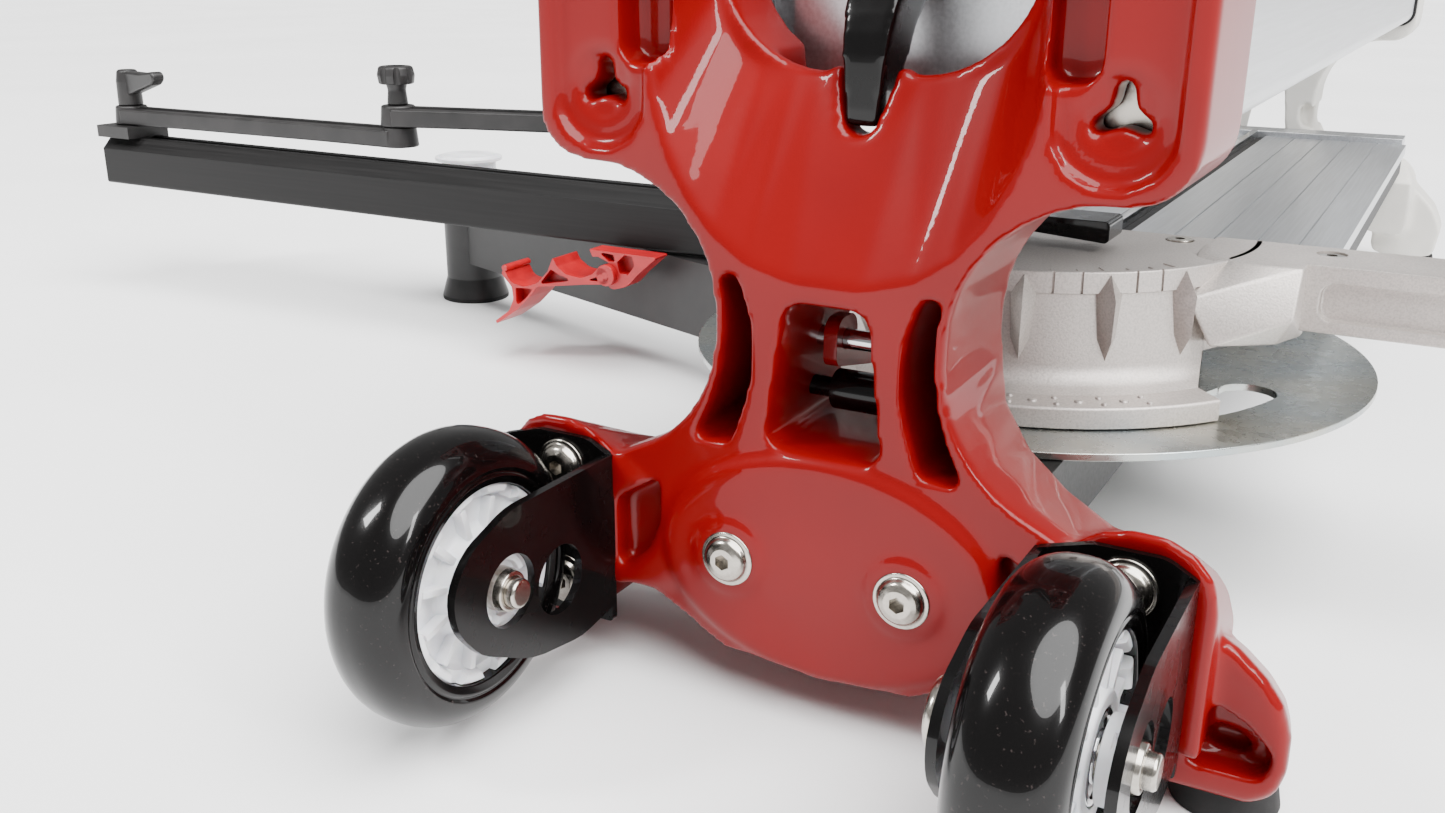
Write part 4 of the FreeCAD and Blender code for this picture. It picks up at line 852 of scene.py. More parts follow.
# ================================================================ screws
def button_screw(x, y, z, facing, shank):
    """Flanged button-head screw with its socket; facing is -1 for a head towards the front."""
    height = 4.6
    section = [(-shank, 0, 0), (height, 0, 0), (height, 4.6, 1.2), (3.6, 7.1, 2.5), (1.5, 8.1, 1.0),
               (1.3, 9.7, 0.5), (0, 9.7, 0.4), (0, 4.0, 0), (-shank, 4.0, 0.5)]
    body = turned(section, (0, 0, 0), "Y", 48)
    socket = rotated(hexagon(2.9, 7.0), 90, "X", (0, 0, 0))
    body = cut(body, moved(socket, 0, height, 0))
    if facing < 0:
        rotated(body, 180, "Z", (0, 0, 0))
    return moved(body, x, y, z)


def all_screws():
    """Two long screws through each support and two short ones through each wheel bracket."""
    long_shank, short_shank = 78, 25
    pad_face = -3.2
    shapes = []
    for side in (-1, 1):
        shapes.append(button_screw(side * SCREW_X, pad_face, SCREW_Z, -1, long_shank))
        shapes.append(button_screw(side * SCREW_X, REAR, SCREW_Z, 1, long_shank))
        for z in BRACKET_SCREW_Z:
            shapes.append(button_screw(side * BRACKET_SCREW_X, -SHEET, z, -1, short_shank))
    return piece("button_head_screws", joined(*shapes), "frame", "stainless", ["flanged_screws"])


# ================================================================ transport wheels
TYRE_HALF = 15.5                        # half widths
HUB_HALF = 13.5
TYRE_BORE = 33.6                        # radii
TREAD_RADIUS = 50.0
BEARING_WIDTH = 8.0
NUT_HOLE = 12.4                         # the right-hand cheek's hole, which the nut and its collar sit in


def tyre(axle, name, body, node):
    """Cast tyre with a crowned tread and a fine groove round each side."""
    section = [(-TYRE_HALF + 1, TYRE_BORE, 0.6), (TYRE_HALF - 1, TYRE_BORE, 0.6), (TYRE_HALF, 36.6, 1.2),
               (TYRE_HALF - 0.7, 37.6, 0.6), (TYRE_HALF, 39.0, 1.2),
               (TYRE_HALF - 0.6, TREAD_RADIUS, 14.2), (-TYRE_HALF + 0.6, TREAD_RADIUS, 14.2),
               (-TYRE_HALF, 39.0, 1.2), (-TYRE_HALF + 0.7, 37.6, 0.6),
               (-TYRE_HALF, 36.6, 1.2)]
    tread = turned(section, axle, "X", 128)
    return piece(name, tread, body, "tyre", [node])


def hub(axle, name, body, node):
    """Moulded hub: a groove in each face with ribs across it and scallops in its outer wall."""
    floor = HUB_HALF - 5
    section = [(-HUB_HALF, 13.2, 0.5), (-HUB_HALF, 17.5, 1), (-floor, 19.5, 2), (-floor, 28.5, 2),
               (-HUB_HALF, 30.5, 1.2), (-HUB_HALF, 33.4, 0.8), (HUB_HALF, 33.4, 0.8), (HUB_HALF, 30.5, 1.2),
               (floor, 28.5, 2), (floor, 19.5, 2), (HUB_HALF, 17.5, 1), (HUB_HALF, 13.2, 0.5)]
    body_shape = turned(section, (0, 0, 0), "X", 96)
    count = sizes().hub_scallops
    scallops = []
    ribs = []
    for turn in range(count):
        angle = 360 / count * turn
        for side in (-1, 1):
            cutter = rod(4.2, 6.0, (side * HUB_HALF - 3.0, 0, 30.2), "X", 0, 20)
            scallops.append(rotated(cutter, angle, "X", (0, 0, 0)))
        rib = eased(box(-HUB_HALF + 1, HUB_HALF - 1, -1.3, 1.3, 17, 29), 0.5)
        ribs.append(rotated(rib, angle + 180 / count, "X", (0, 0, 0)))
    body_shape = cut(body_shape, joined(*scallops))
    whole = joined(body_shape, *ribs)
    return piece(name, moved(whole, *axle), body, "white_plastic", [node])


def bearing(axle, name, body, node):
    """Shielded ball bearing in each end of the hub: outer ring, inner ring and the shields between."""
    wide = BEARING_WIDTH
    outer = [(0, 10.8, 0.3), (wide, 10.8, 0.3), (wide, 13, 0.5), (0, 13, 0.5)]
    inner = [(0, 5.05, 0.3), (wide, 5.05, 0.3), (wide, 7.2, 0.3), (0, 7.2, 0.3)]
    shield = [(0.6, 7.1, 0), (wide - 0.6, 7.1, 0), (wide - 0.6, 10.9, 0), (0.6, 10.9, 0)]
    rings = []
    for start in (-HUB_HALF, HUB_HALF - wide):
        place = (axle[0] + start, axle[1], axle[2])
        rings += [turned(section, place, "X", 48) for section in (outer, inner, shield)]
    return piece(name, joined(*rings), body, "chrome_steel", [node])


def wheel_bracket(low, high, screw_x, name, node):
    """Bent sheet: arched back plate and two cheeks that hold the axle."""
    back = prism([(low.x, low.z, 1.5), (high.x, low.z, 1.5), (high.x, 84.5, 2.5), (screw_x + 10.5, 89.6, 9),
                  (screw_x - 10.5, 89.6, 9), (low.x, 84.5, 2.5)], "XZ", -SHEET, SHEET)
    cheeks = []
    for x in (low.x, high.x - SHEET):
        cheek = prism([(-0.5, 84.5, 0), (-58, 84.8, 24), (-84, 76, 20), (-89.5, 57, 18), (-76, 41, 20),
                       (-50, 27.5, 40), (-22, 23, 30), (-0.5, 26.5, 0)], "YZ", x, SHEET)
        access = rod(NUT_HOLE, SHEET + 2 * PAST, (x - PAST, -33.5, 50), "X")
        seat = rod(NUT_HOLE if x > low.x else 5.2, SHEET + 2 * PAST, (x - PAST, AXLE.y, AXLE.z), "X")
        cheeks.append(cut(cheek, access, seat))
    shape = fused(back, *cheeks)
    holes = [rod(SCREW_BORE, SHEET + 2 * PAST, (screw_x, -SHEET - PAST, z), "Y") for z in BRACKET_SCREW_Z]
    return piece(name, eased(cut(shape, *holes), 0.7, 2), "frame", "black_enamel", [node])


def axle_set():
    """Axle bolts with round heads, and the round nuts and slotted collars in the right-hand cheeks' holes."""
    bolts = []
    nuts = []
    collars = []
    for low, high in ((LEFT_BRACKET_LOW, LEFT_BRACKET_HIGH), (BRACKET_LOW, BRACKET_HIGH)):
        bolts.append(rod(5, high.x - low.x + 4.5, (low.x, AXLE.y, AXLE.z), "X", 1.2))
        head = [(-8, 0, 0), (0, 0, 0), (0, 10.5, 0.8), (-8, 10.5, 2.6)]
        cap = turned(head, (low.x, AXLE.y, AXLE.z), "X", 64)
        bolts.append(cut(cap, rod(5.5, 3, (low.x - 8.6, AXLE.y, AXLE.z), "X")))
        nuts.append(turned([(0, 5.1, 0.2), (6.4, 5.1, 0.3), (6.4, 6.6, 0.6), (3.6, 7.4, 1.0), (0, 7.4, 0.4)],
                           (high.x - SHEET - 2.6, AXLE.y, AXLE.z), "X", 72))
        start = (high.x - SHEET - 6.2, AXLE.y, AXLE.z)
        collar = turned([(0, 5.1, 0.2), (3.4, 5.1, 0.2), (3.4, 9.4, 0.4), (5.6, 9.6, 0.4), (5.6, 12.2, 0.8),
                         (0, 12.2, 0.4)], start, "X", 72)
        gaps = [rotated(moved(box(2.6, 9, -2.4, 2.4, 8.4, 14), *start), degrees, "X", start)
                for degrees in (35, 155, 275)]
        collars.append(cut(collar, joined(*gaps)))
        collars.append(turned([(0, 5.1, 0.2), (5.4, 5.1, 0.2), (5.4, 7.6, 0.4), (0, 7.6, 0.4)],
                              (low.x + SHEET + 0.6, AXLE.y, AXLE.z), "X", 48))
    piece("axle_bolt_pair", joined(*bolts), "frame", "stainless", ["axle_bolts"])
    piece("axle_collars", joined(*collars), "frame", "white_plastic", ["axle_spacers"])
    return piece("axle_nut_set", joined(*nuts), "frame", "stainless", ["axle_nuts"])


# ================================================================ protractor and swivel plate
SLOT_INNER, SLOT_OUTER = 96.0, 118.0    # radii of the curved slot in the plated disc
SLOT_END = math.radians(16)             # its ends stand this far in front of the pivot
DISC_THICK = 3.0
RIB_START = -36.0                       # direction of the first rib from the pivot, in degrees
RIB_COUNT = 7
TICKS_PER_RIB = 3                       # a long tick at each rib and two short ones between
FENCE_BACK = 12.0                       # the fence's rear face, behind the pivot
FLANGE = 8.5                            # height of the drum's flange
SCREW_PLACES = ((64, PIVOT.y + 2), (124, PIVOT.y - 2), (220, PIVOT.y - 2))


def swivel_disc():
    """Plated disc with its curved slot."""
    x, y, z = PIVOT.x, PIVOT.y, PLATE_LOW.z
    radius = PLATE_HIGH.x
    disc = turned([(0, 8.1, 0), (DISC_THICK, 8.1, 0.2), (DISC_THICK, radius, 0.5), (0, radius, 0.5)],
                  (x, y, z), "Z", 160)
    middle = (SLOT_INNER + SLOT_OUTER) / 2
    half = (SLOT_OUTER - SLOT_INNER) / 2
    over = DISC_THICK + PAST
    ring = turned([(-PAST, SLOT_INNER, 0), (over, SLOT_INNER, 0), (over, SLOT_OUTER, 0),
                   (-PAST, SLOT_OUTER, 0)], (x, y, z), "Z", 144)
    front = y - middle * math.sin(SLOT_END)
    ring = cut(ring, box(-200, 200, front, y + 200, z - 5, z + 10))
    aside = middle * math.cos(SLOT_END)
    ends = [rod(half, DISC_THICK + 2 * PAST, (x + side * aside, front, z - PAST), "Z") for side in (-1, 1)]
    disc = cut(disc, ring, *ends)
    return piece("zinc_swivel_disc", eased(disc, 0.35, 2), "frame", "zinc_steel", ["swivel_plate"])


def drum_point(degrees, radius, z):
    """Point at a direction and a distance from the pivot."""
    angle = math.radians(degrees)
    return (PIVOT.x + radius * math.cos(angle), PIVOT.y + radius * math.sin(angle), z)


def rib_shape(degrees, top):
    """Tapered cooling rib: a ridge that is widest under the band and ends in a point."""
    rib = hull([(93, -4.6, top - 8), (93, 4.6, top - 8), (97.6, -4.8, top - 9), (97.6, 4.8, top - 9),
                (97.4, 0, top - 1.2), (104.2, 0, top - 10), (103.4, 0, top - 26), (98.4, 0, top - 35),
                (97.8, -3.6, top - 26), (97.8, 3.6, top - 26), (93, 0, top - 35)])
    return rotated(moved(rib, PIVOT.x, PIVOT.y, 0), degrees, "Z", PIVOT)


def tick_directions():
    """Direction in degrees of every tick, and whether it stands at a rib."""
    step = round(math.degrees(sizes().rib_step), 4) / TICKS_PER_RIB
    return [(RIB_START - index * step, index % TICKS_PER_RIB == 0)
            for index in range((RIB_COUNT - 1) * TICKS_PER_RIB + 1)]


def protractor_drum(base, top):
    """Round part: a drum with a flange below and a band above, hollow underneath, and its ribs."""
    tall = top - base
    far = 160
    solid = turned([(0, 0, 0), (tall, 0, 0), (tall, 97, 0.8), (tall - 8.2, 97.4, 0), (tall - 8.6, 96.4, 0),
                    (12.0, 99.4, 9), (FLANGE, 109, 1.5), (FLANGE, 124, 1.2), (0, 124, 1.0)],
                   (PIVOT.x, PIVOT.y, base), "Z", 180)
    recess = turned([(0, 0, 0), (4, 0, 0), (4, 94.8, 0), (0, 94.0, 0.6)],
                    (PIVOT.x, PIVOT.y, top - 1.2), "Z", 144)
    behind = box(-far, far, PIVOT.y + FENCE_BACK, PIVOT.y + far, base - 2, top + 4)
    beside = prism([(88.5, 152.5, 2), (103, 136.5, 0), (126, 112, 0), (170, 112, 0), (170, 262, 0),
                    (72, 262, 0)], "XY", base - 2, 105 - base + 2)
    hollow = turned([(-1, 22, 0), (tall - 7, 22, 6), (tall - 7, 86, 6), (-1, 92, 0)],
                    (PIVOT.x, PIVOT.y, base), "Z", 96)
    hollow = cut(hollow, box(-far, far, PIVOT.y + FENCE_BACK - 6, PIVOT.y + far, base - 3, top + 3))
    ribs = []
    notches = []
    for degrees, at_rib in tick_directions():
        if at_rib:
            ribs.append(rib_shape(degrees, top))
            continue
        x, y, z = drum_point(degrees, 98.0, top - 4.8)
        tick = box(x - 2.2, x + 2.2, y - 0.5, y + 0.5, z - 3.6, z + 8)
        notches.append(rotated(tick, degrees, "Z", (x, y, z)))
    return cut(solid, recess, hollow, behind, beside, joined(*notches)), ribs


def protractor_arm(top):
    """Fence arm: a bar with a hollow along its face, and the wedge that carries it out of the drum."""
    wedge = hull([(76, 190, top), (93, 177, top), (118, 179, top), (90, 176, top - 8.6), (118, 168, top - 18),
                  (112, 174, top - 30), (90, 158, top - 30), (80, 158, top - 12), (76, 210, top - 33),
                  (118, 205, top - 33), (118, 205, top), (76, 210, top)])
    front, back, end = PIVOT.y - 26, PIVOT.y + FENCE_BACK, FENCE_HIGH.x
    bar = prism([(100, front, 0), (end, front, 4), (end, back, 4), (77, back, 0), (77, PIVOT.y - 20, 0)],
                "XY", top - 27, 27)
    hollow = prism([(124, top - 22, 5), (end - 9, top - 22, 4), (end - 9, top - 7, 4), (124, top - 7, 5)],
                   "XZ", PIVOT.y - 30, 8)
    return fused(eased(wedge, 1.2, 2), eased(cut(bar, hollow), 1.0, 2))


def flange_dots(low):
    """Staggered raised dots on the flange, for grip: the middle row's are larger."""
    dots = []
    for radius, size, shift in ((112.6, 1.5, 0), (116.4, 2.2, 0.5), (120.0, 1.5, 0)):
        for index in range(14):
            place = drum_point(-50 - (index + shift) * 8.4, radius, low - 0.6)
            dots.append(turned([(0, 0, 0), (1.7, 0, 0), (1.2, size * 0.7, 0.3), (0, size, 0)],
                               place, "Z", 12))
    return dots


def fence_screw(x, y, top):
    """Countersunk screw head with its socket, a little below the face."""
    head = turned([(-4, 0, 0), (-0.5, 0, 0), (-0.5, 5.4, 0.4), (-4, 5.4, 0)], (x, y, top), "Z", 40)
    return cut(head, moved(hexagon(2.3, 5.0), x, y, top - 0.5))


def degree_marks(top):
    """Generic tick marks on the drum's top, raised a little."""
    marks = []
    for degrees, at_rib in tick_directions():
        x, y, z = drum_point(degrees, 88.0 if at_rib else 89.5, top - 1.4)
        length = 3.4 if at_rib else 1.8
        mark = box(x - length, x + length, y - 0.35, y + 0.35, z, z + 0.7)
        marks.append(rotated(mark, degrees, "Z", (x, y, z)))
    return marks


def protractor():
    """Cast protractor with its ribs, dots, ticks and arm, and the screws in the arm."""
    base, top = FENCE_LOW.z, FENCE_HIGH.z
    drum, ribs = protractor_drum(base, top)
    arm = protractor_arm(top)
    first, *others = [rod(5.9, 6, (x, y, top - 4.2), "Z") for x, y in SCREW_PLACES]
    arm = cut(arm, first.copy(), *others)
    drum = cut(drum, first)
    shape = joined(drum, arm, *ribs, *flange_dots(base + FLANGE), *degree_marks(top))
    piece("cast_protractor", shape, "protractor", "cast_aluminium", ["protractor"])
    heads = [fence_screw(x, y, top) for x, y in SCREW_PLACES]
    return piece("fence_screws", joined(*heads), "protractor", "stainless", ["protractor_screws"])


# ================================================================ lever
LEVER_HALF = 10.0                       # half the forging's width
KEEL_SHARE = 0.5                        # the keel's width over the bar's
KEEL_RISE = 48.0                        # height over which the keel widens to the bar
LEVER_PIN = (134.0, 264.0)              # place of the pin's bore, along and up
LEVER_GRID = 1.2
LEVER_SOFTNESS = 6


def lever_bar():
    """Forged lever: a keel in the notch, widening to a rounded bar that leans back to its grip."""
    nose = LEVER_LOW.y
    low = LEVER_LOW.z
    high = LEVER_HIGH.z
    shape = prism([(nose, low, 4), (nose + 1, low + 32, 30), (nose + 50, 294, 60), (nose + 124, high, 6),
                   (nose + 146, high, 6), (nose + 128, 294, 40), (nose + 128, 249, 12), (nose + 92, 245, 10),
                   (nose + 30, 244, 24), (nose + 13, low, 5)], "YZ", -LEVER_HALF, 2 * LEVER_HALF)
    bmesh.ops.triangulate(shape, faces=[f for f in shape.faces if len(f.verts) > 4])
    for vertex in shape.verts:
        rise = max(0.0, min(1.0, (vertex.co.z - low) / KEEL_RISE))
        vertex.co.x *= KEEL_SHARE + (1 - KEEL_SHARE) * rise
    shape = cut(shape, rod(5.1, 4 * LEVER_HALF, (-2 * LEVER_HALF, *LEVER_PIN), "X"))
    return piece("forged_lever", cast(shape, LEVER_GRID, LEVER_SOFTNESS), "lever", "black_enamel", ["lever"],
                 flats=False, sharp=CAST_ANGLE)


def lever_grip():
    """Ribbed rubber grip on the lever's end, tilted from one corner of its room to the other."""
    low, high = corners_of("lever_grip")
    inset_y, inset_z = 16, 2
    start = Vector((0, low.y + inset_y, low.z + inset_z))
    end = Vector((0, high.y - inset_y, high.z - inset_z))
    length = (end - start).length
    section = [(0, 0, 0), (length, 0, 0), (length, 13.5, 7)]
    ribs = 9
    for index in range(ribs):
        along = length - 14 - index * (length - 24) / ribs
        section += [(along, 15.8, 1.5), (along - 3.0, 14.4, 1.5)]
    section += [(4, 15.8, 2), (0, 14.5, 2)]
    grip = turned(section, (0, 0, 0), "Z", 48)
    tilt = Vector((0, 0, 1)).rotation_difference(end - start).to_matrix()
    bmesh.ops.rotate(grip, cent=(0, 0, 0), matrix=tilt, verts=grip.verts)
    return piece("ribbed_grip", moved(grip, *start), "lever", "rubber", ["lever_grip"])


# ================================================================ stop linkage, post and clip
def arm_shape(start, end, bottom, top, wide, narrow):
    """Moulded arm: bosses at both ends, a waisted web between them and a low rib along its top."""
    run = Vector((end[0] - start[0], end[1] - start[1], 0))
    length = run.length
    tall = top - bottom
    near, far = length * 0.25, length * 0.75
    web = prism([(0, -wide, 0), (near, -narrow, 30), (far, -narrow, 30), (length, -wide, 0),
                 (length, wide, 0), (far, narrow, 30), (near, narrow, 30), (0, wide, 0)],
                "XY", bottom, tall * 0.86)
    parts = [eased(web, 1.6, 3)]
    for along in (0, length):
        parts.append(turned([(0, 0, 0), (tall, 0, 0), (tall, wide * 0.9, 1.6), (0, wide, 1.0)],
                            (along, 0, bottom), "Z", 56))
    inset = wide * 0.6
    rib = eased(box(inset, length - inset, -1.6, 1.6, bottom + tall * 0.8, top - 0.4), 0.5, 2)
    whole = joined(*parts, rib)
    bmesh.ops.rotate(whole, cent=(0, 0, 0), matrix=Matrix.Rotation(math.atan2(run.y, run.x), 3, "Z"),
                     verts=whole.verts)
    return moved(whole, start[0], start[1], 0)


CLAMP_AXIS = ((SLIDER_LOW.x + SLIDER_HIGH.x) / 2, LINK_LOW.y + LINK_END)
BOSS_RADIUS = 12.8


def stop_arms():
    """The link from the slider to the knob, and the finger beyond it."""
    knob = (JOINT.x, JOINT.y)
    arm = arm_shape(CLAMP_AXIS, knob, LINK_LOW.z, LINK_HIGH.z, BOSS_RADIUS, 10.0)
    piece("moulded_stop_link", arm, "stop_link", "black_plastic", ["stop_link"])
    end = (FINGER_HIGH.x - LINK_END, FINGER_HIGH.y - LINK_END)
    finger = arm_shape(knob, end, FINGER_LOW.z, FINGER_HIGH.z, BOSS_RADIUS, 9.5)
    return piece("moulded_stop_finger", finger, "stop_finger", "black_plastic", ["stop_finger"])


def star_knob():
    """Eight-lobed knob on a narrow stem."""
    top = KNOB_HIGH.z
    low = top - 12
    x, y = JOINT.x, JOINT.y
    lobes, flute_ring = 8, 13.6
    head = turned([(0, 0, 0), (12, 0, 0), (12, 11.6, 2.4), (6, 13, 3), (0, 12, 1.5)], (x, y, low), "Z", 96)
    flutes = []
    for index in range(lobes):
        turn = math.tau * index / lobes
        place = (x + flute_ring * math.cos(turn), y + flute_ring * math.sin(turn), low - 2)
        flutes.append(rod(2.7, 16, place, "Z", 0, 24))
    head = cut(head, *flutes)
    stem = turned([(0, 0, 0), (15, 0, 0), (15, 7.5, 0), (10, 6.2, 6), (0, 7.2, 1)], (x, y, low - 14), "Z", 48)
    stud = rod(4, low - 14 - KNOB_LOW.z + 1, (x, y, KNOB_LOW.z), "Z", 0.4, 32)
    dimple = rod(6.5, 3, (x, y, top - 1.0), "Z", 0, 40)
    return piece("eight_lobe_knob", joined(eased(cut(head, dimple), 0.7), stem, stud), "star_knob",
                 "black_plastic", ["star_knob"])


def clamp_handle():
    """Clamping lever: hub, rising arm with a flattened end, and its stud."""
    x, y = CLAMP_AXIS
    low = FINGER_LOW.z
    hub_shape = turned([(0, 0, 0), (27, 0, 0), (27, 7.4, 2.5), (18, 8.8, 3), (0, 9.2, 1.2)],
                       (x, y, low), "Z", 56)
    stud = rod(4, low - CLAMP_LOW.z + 1, (x, y, CLAMP_LOW.z), "Z", 0.4, 32)
    arm = prism([(-7, 0, 2), (8, -5, 6), (46, 5, 8), (52, 10, 4), (48, 15, 4), (30, 13, 10), (-7, 13, 6)],
                "XZ", -5, 10)
    arm = eased(arm, 2.6, 3)
    rotated(arm, -12, "Z", (0, 0, 0))
    whole = joined(hub_shape, stud, moved(arm, x, y, low + 13))
    return piece("clamp_handle", whole, "clamp_lever", "black_plastic", ["clamp_lever"])


def post_cap():
    """White cap with a thin flange, its plug reaching down into the post."""
    top = CAP_HIGH.z
    foot = CAP_LOW.z - top
    section = [(foot, 0, 0), (0, 0, 0), (0, 20, 1.5), (-1.2, 21.5, 1), (-1.2, 24.8, 0.8), (-4, 24.8, 0.8),
               (-4.4, 20, 1.5), (-12, 20, 0.4), (-12, 16.8, 0), (foot, 16.8, 1.0)]
    return piece("flanged_post_cap", turned(section, (POST.x, POST.y, top), "Z", 72), "swing_beam",
                 "white_plastic", ["post_cap"])


def red_clip():
    """Two spring cradles on a hinged strap, with a beaded lip and a splayed tail."""
    near = 296.0
    wide = 25.5
    hinge_x, hinge_z = -285.5, 65.2
    strap = prism([
        (-363, 60.5, 1), (-358.5, 52.5, 6), (-347.5, 50.6, 8), (-337.0, 54.5, 8), (-328.6, 63.0, 3),
        (-324.3, 72.3, 0.6), (-321.4, 67.0, 3), (-314.5, 62.6, 7), (-303.5, 61.6, 8), (-295, 64.8, 6),
        (-289.5, 70.2, 3), (-284.6, 68.6, 3), (-281.5, 60.2, 4), (-300, 58.0, 0), (-337.4, 52.0, 1),
        (-344.0, 44.5, 8), (-354.5, 34.5, 8), (-371.2, 23.4, 0.8), (-371.9, 25.4, 0.8),
        (-360.5, 33.5, 5), (-356.6, 41.5, 6), (-357.5, 49.5, 3), (-365.6, 57.5, 2),
    ], "XZ", near, wide)
    cells = [prism(corners, "XZ", near - PAST, deep + PAST) for corners, deep in (
        ([(-354.5, 49.4, 1), (-340.5, 50.2, 1), (-346.5, 43.5, 3), (-354.6, 37.0, 2)], 8),
        ([(-335, 54.4, 1), (-326.2, 64.6, 1), (-320.0, 62.0, 4), (-309.5, 59.2, 1.5), (-330, 54.9, 1)], 8),
        ([(-302, 60.4, 1), (-293, 63.0, 2), (-288.4, 66.4, 1.5), (-286.0, 61.4, 1.5)], 4),
    )]
    shape = cut(strap, *cells)
    bead = rod(2.2, wide, (-363.0, near, 61.0), "Y", 0.6, 24)
    hinge = cut(rod(6.6, wide, (hinge_x, near, hinge_z), "Y", 0.5, 40),
                rod(2.2, wide + 2 * PAST, (hinge_x, near - PAST, hinge_z), "Y"))
    return piece("moulded_clip", joined(eased(shape, 0.35, 2), bead, hinge), "clip", "red_plastic", ["clip"])


def clip_lug():
    """Fixed lug of the clip, with its hexagonal cell and hook."""
    near = 300.0
    shape = prism([(-286, 55.0, 5), (-272, 59.0, 12), (-264, 67.5, 6), (-250, 79.5, 1), (-262, 79.6, 1),
                   (-296.5, 79.6, 1), (-299.5, 79.8, 0.8), (-297.0, 75.0, 0.8), (-293.0, 75.5, 1),
                   (-284, 72.2, 2), (-288, 66.0, 3)], "XZ", near, 14)
    cell = hull([(x, y, z) for x, z in ((-273.5, 78.5), (-279.0, 73.5), (-277.5, 67.0), (-271.5, 66.5),
                                        (-266.5, 72.5), (-268.0, 78.0)) for y in (near - PAST, near + 7)])
    shelf = prism([(-292.0, 78.4, 1), (-281.5, 77.8, 1), (-280.5, 73.8, 1), (-285.0, 73.4, 1)],
                  "XZ", near - PAST, 7)
    lug = eased(cut(shape, cell, shelf), 0.35, 2)
    return piece("clip_hinge_lug", lug, body_of("clip_lug"), "red_plastic", ["clip_lug"])


# ================================================================ plain machined pieces
MACHINED = {                            # node: name of its piece, and how far its edges are broken
    "guide_left": ("extruded_guide_left", 0.5),
    "guide_right": ("extruded_guide_right", 0.5),
    "base_body": ("base_beam", 0.6),
    "table_left": ("grooved_table_left", 0.25),
    "table_right": ("grooved_table_right", 0.25),
    "breaking_strip": ("ground_strip", 0.25),
    "end_ruler": ("ruler_bar", 0.5),
    "rail": ("slotted_rail", 0.4),
    "rail_bracket": ("cranked_bracket", 0.6),
    "clamp_slider": ("slider_block", 0.8),
    "carriage_body": ("milled_carriage", 0.7),
    "plunger": ("plunger_rod", 0.3),
    "latch_hook": ("red_hook", 0.8),
    "breaker_foot": ("breaker_shoe", 0.6),
    "latch_sleeve": ("cross_sleeve", 0.4),
    "support_feet": ("rubber_feet", 0.8),
    "guide_gaskets": ("guide_seals", 0.6),
    "post_foot": ("post_pad", 0.6),
}
OTHER_FINISH = {"carriage_body": "anodised_aluminium"}      # bare where the record's slot is coated
REAR_GRID = 2.0
REAR_SOFTNESS = 5


def softened_rear():
    """Rear casting with soft cast edges."""
    shape = cast(node_shape("rear_support"), REAR_GRID, REAR_SOFTNESS)
    return piece("rear_casting", shape, "frame", "grey_enamel", ["rear_support"], flats=False,
                 sharp=CAST_ANGLE)


# ================================================================ operators
class CUTTER_OT_front_casting(bpy.types.Operator):
    """Build the red front casting"""
    bl_idname = "cutter.front_casting"
    bl_label = "Front casting"

    def execute(self, context):
        front_casting()
        return {"FINISHED"}


class CUTTER_OT_rear_casting(bpy.types.Operator):
    """Build the pale rear casting"""
    bl_idname = "cutter.rear_casting"
    bl_label = "Rear casting"

    def execute(self, context):
        softened_rear()
        return {"FINISHED"}


class CUTTER_OT_screws(bpy.types.Operator):
    """Build the flanged button-head screws"""
    bl_idname = "cutter.screws"
    bl_label = "Screws"

    def execute(self, context):
        all_screws()
        return {"FINISHED"}


class CUTTER_OT_wheels(bpy.types.Operator):
    """Build both transport wheels with their brackets and axles"""
    bl_idname = "cutter.wheels"
    bl_label = "Transport wheels"

    def execute(self, context):
        sides = (("right", AXLE, BRACKET_LOW, BRACKET_HIGH, 1),
                 ("left", LEFT_AXLE, LEFT_BRACKET_LOW, LEFT_BRACKET_HIGH, -1))
        for side, axle, low, high, sign in sides:
            body = "wheel_" + side
            tyre(axle, "cast_tyre_" + side, body, "tyre_" + side)
            hub(axle, "scalloped_hub_" + side, body, "hub_" + side)
            bearing(axle, "shielded_bearings_" + side, body, "wheel_bearings_" + side)
            wheel_bracket(low, high, sign * BRACKET_SCREW_X, "bent_bracket_" + side, "wheel_bracket_" + side)
        axle_set()
        return {"FINISHED"}


class CUTTER_OT_swivel_disc(bpy.types.Operator):
    """Build the plated disc under the protractor"""
    bl_idname = "cutter.swivel_disc"
    bl_label = "Swivel disc"

    def execute(self, context):
        swivel_disc()
        return {"FINISHED"}


class CUTTER_OT_protractor(bpy.types.Operator):
    """Build the protractor and the screws in its arm"""
    bl_idname = "cutter.protractor"
    bl_label = "Protractor"

    def execute(self, context):
        protractor()
        return {"FINISHED"}


class CUTTER_OT_lever(bpy.types.Operator):
    """Build the operating lever and its grip"""
    bl_idname = "cutter.lever"
    bl_label = "Lever"

    def execute(self, context):
        lever_bar()
        lever_grip()
        return {"FINISHED"}


class CUTTER_OT_stop(bpy.types.Operator):
    """Build the stop linkage, its knob and its clamping lever"""
    bl_idname = "cutter.stop"
    bl_label = "Stop linkage"

    def execute(self, context):
        stop_arms()
        star_knob()
        clamp_handle()
        return {"FINISHED"}


class CUTTER_OT_post_cap(bpy.types.Operator):
    """Build the post's cap"""
    bl_idname = "cutter.post_cap"
    bl_label = "Post cap"

    def execute(self, context):
        post_cap()
        return {"FINISHED"}


class CUTTER_OT_clip(bpy.types.Operator):
    """Build the red clip and its lug"""
    bl_idname = "cutter.clip"
    bl_label = "Clip"

    def execute(self, context):
        red_clip()
        clip_lug()
        return {"FINISHED"}


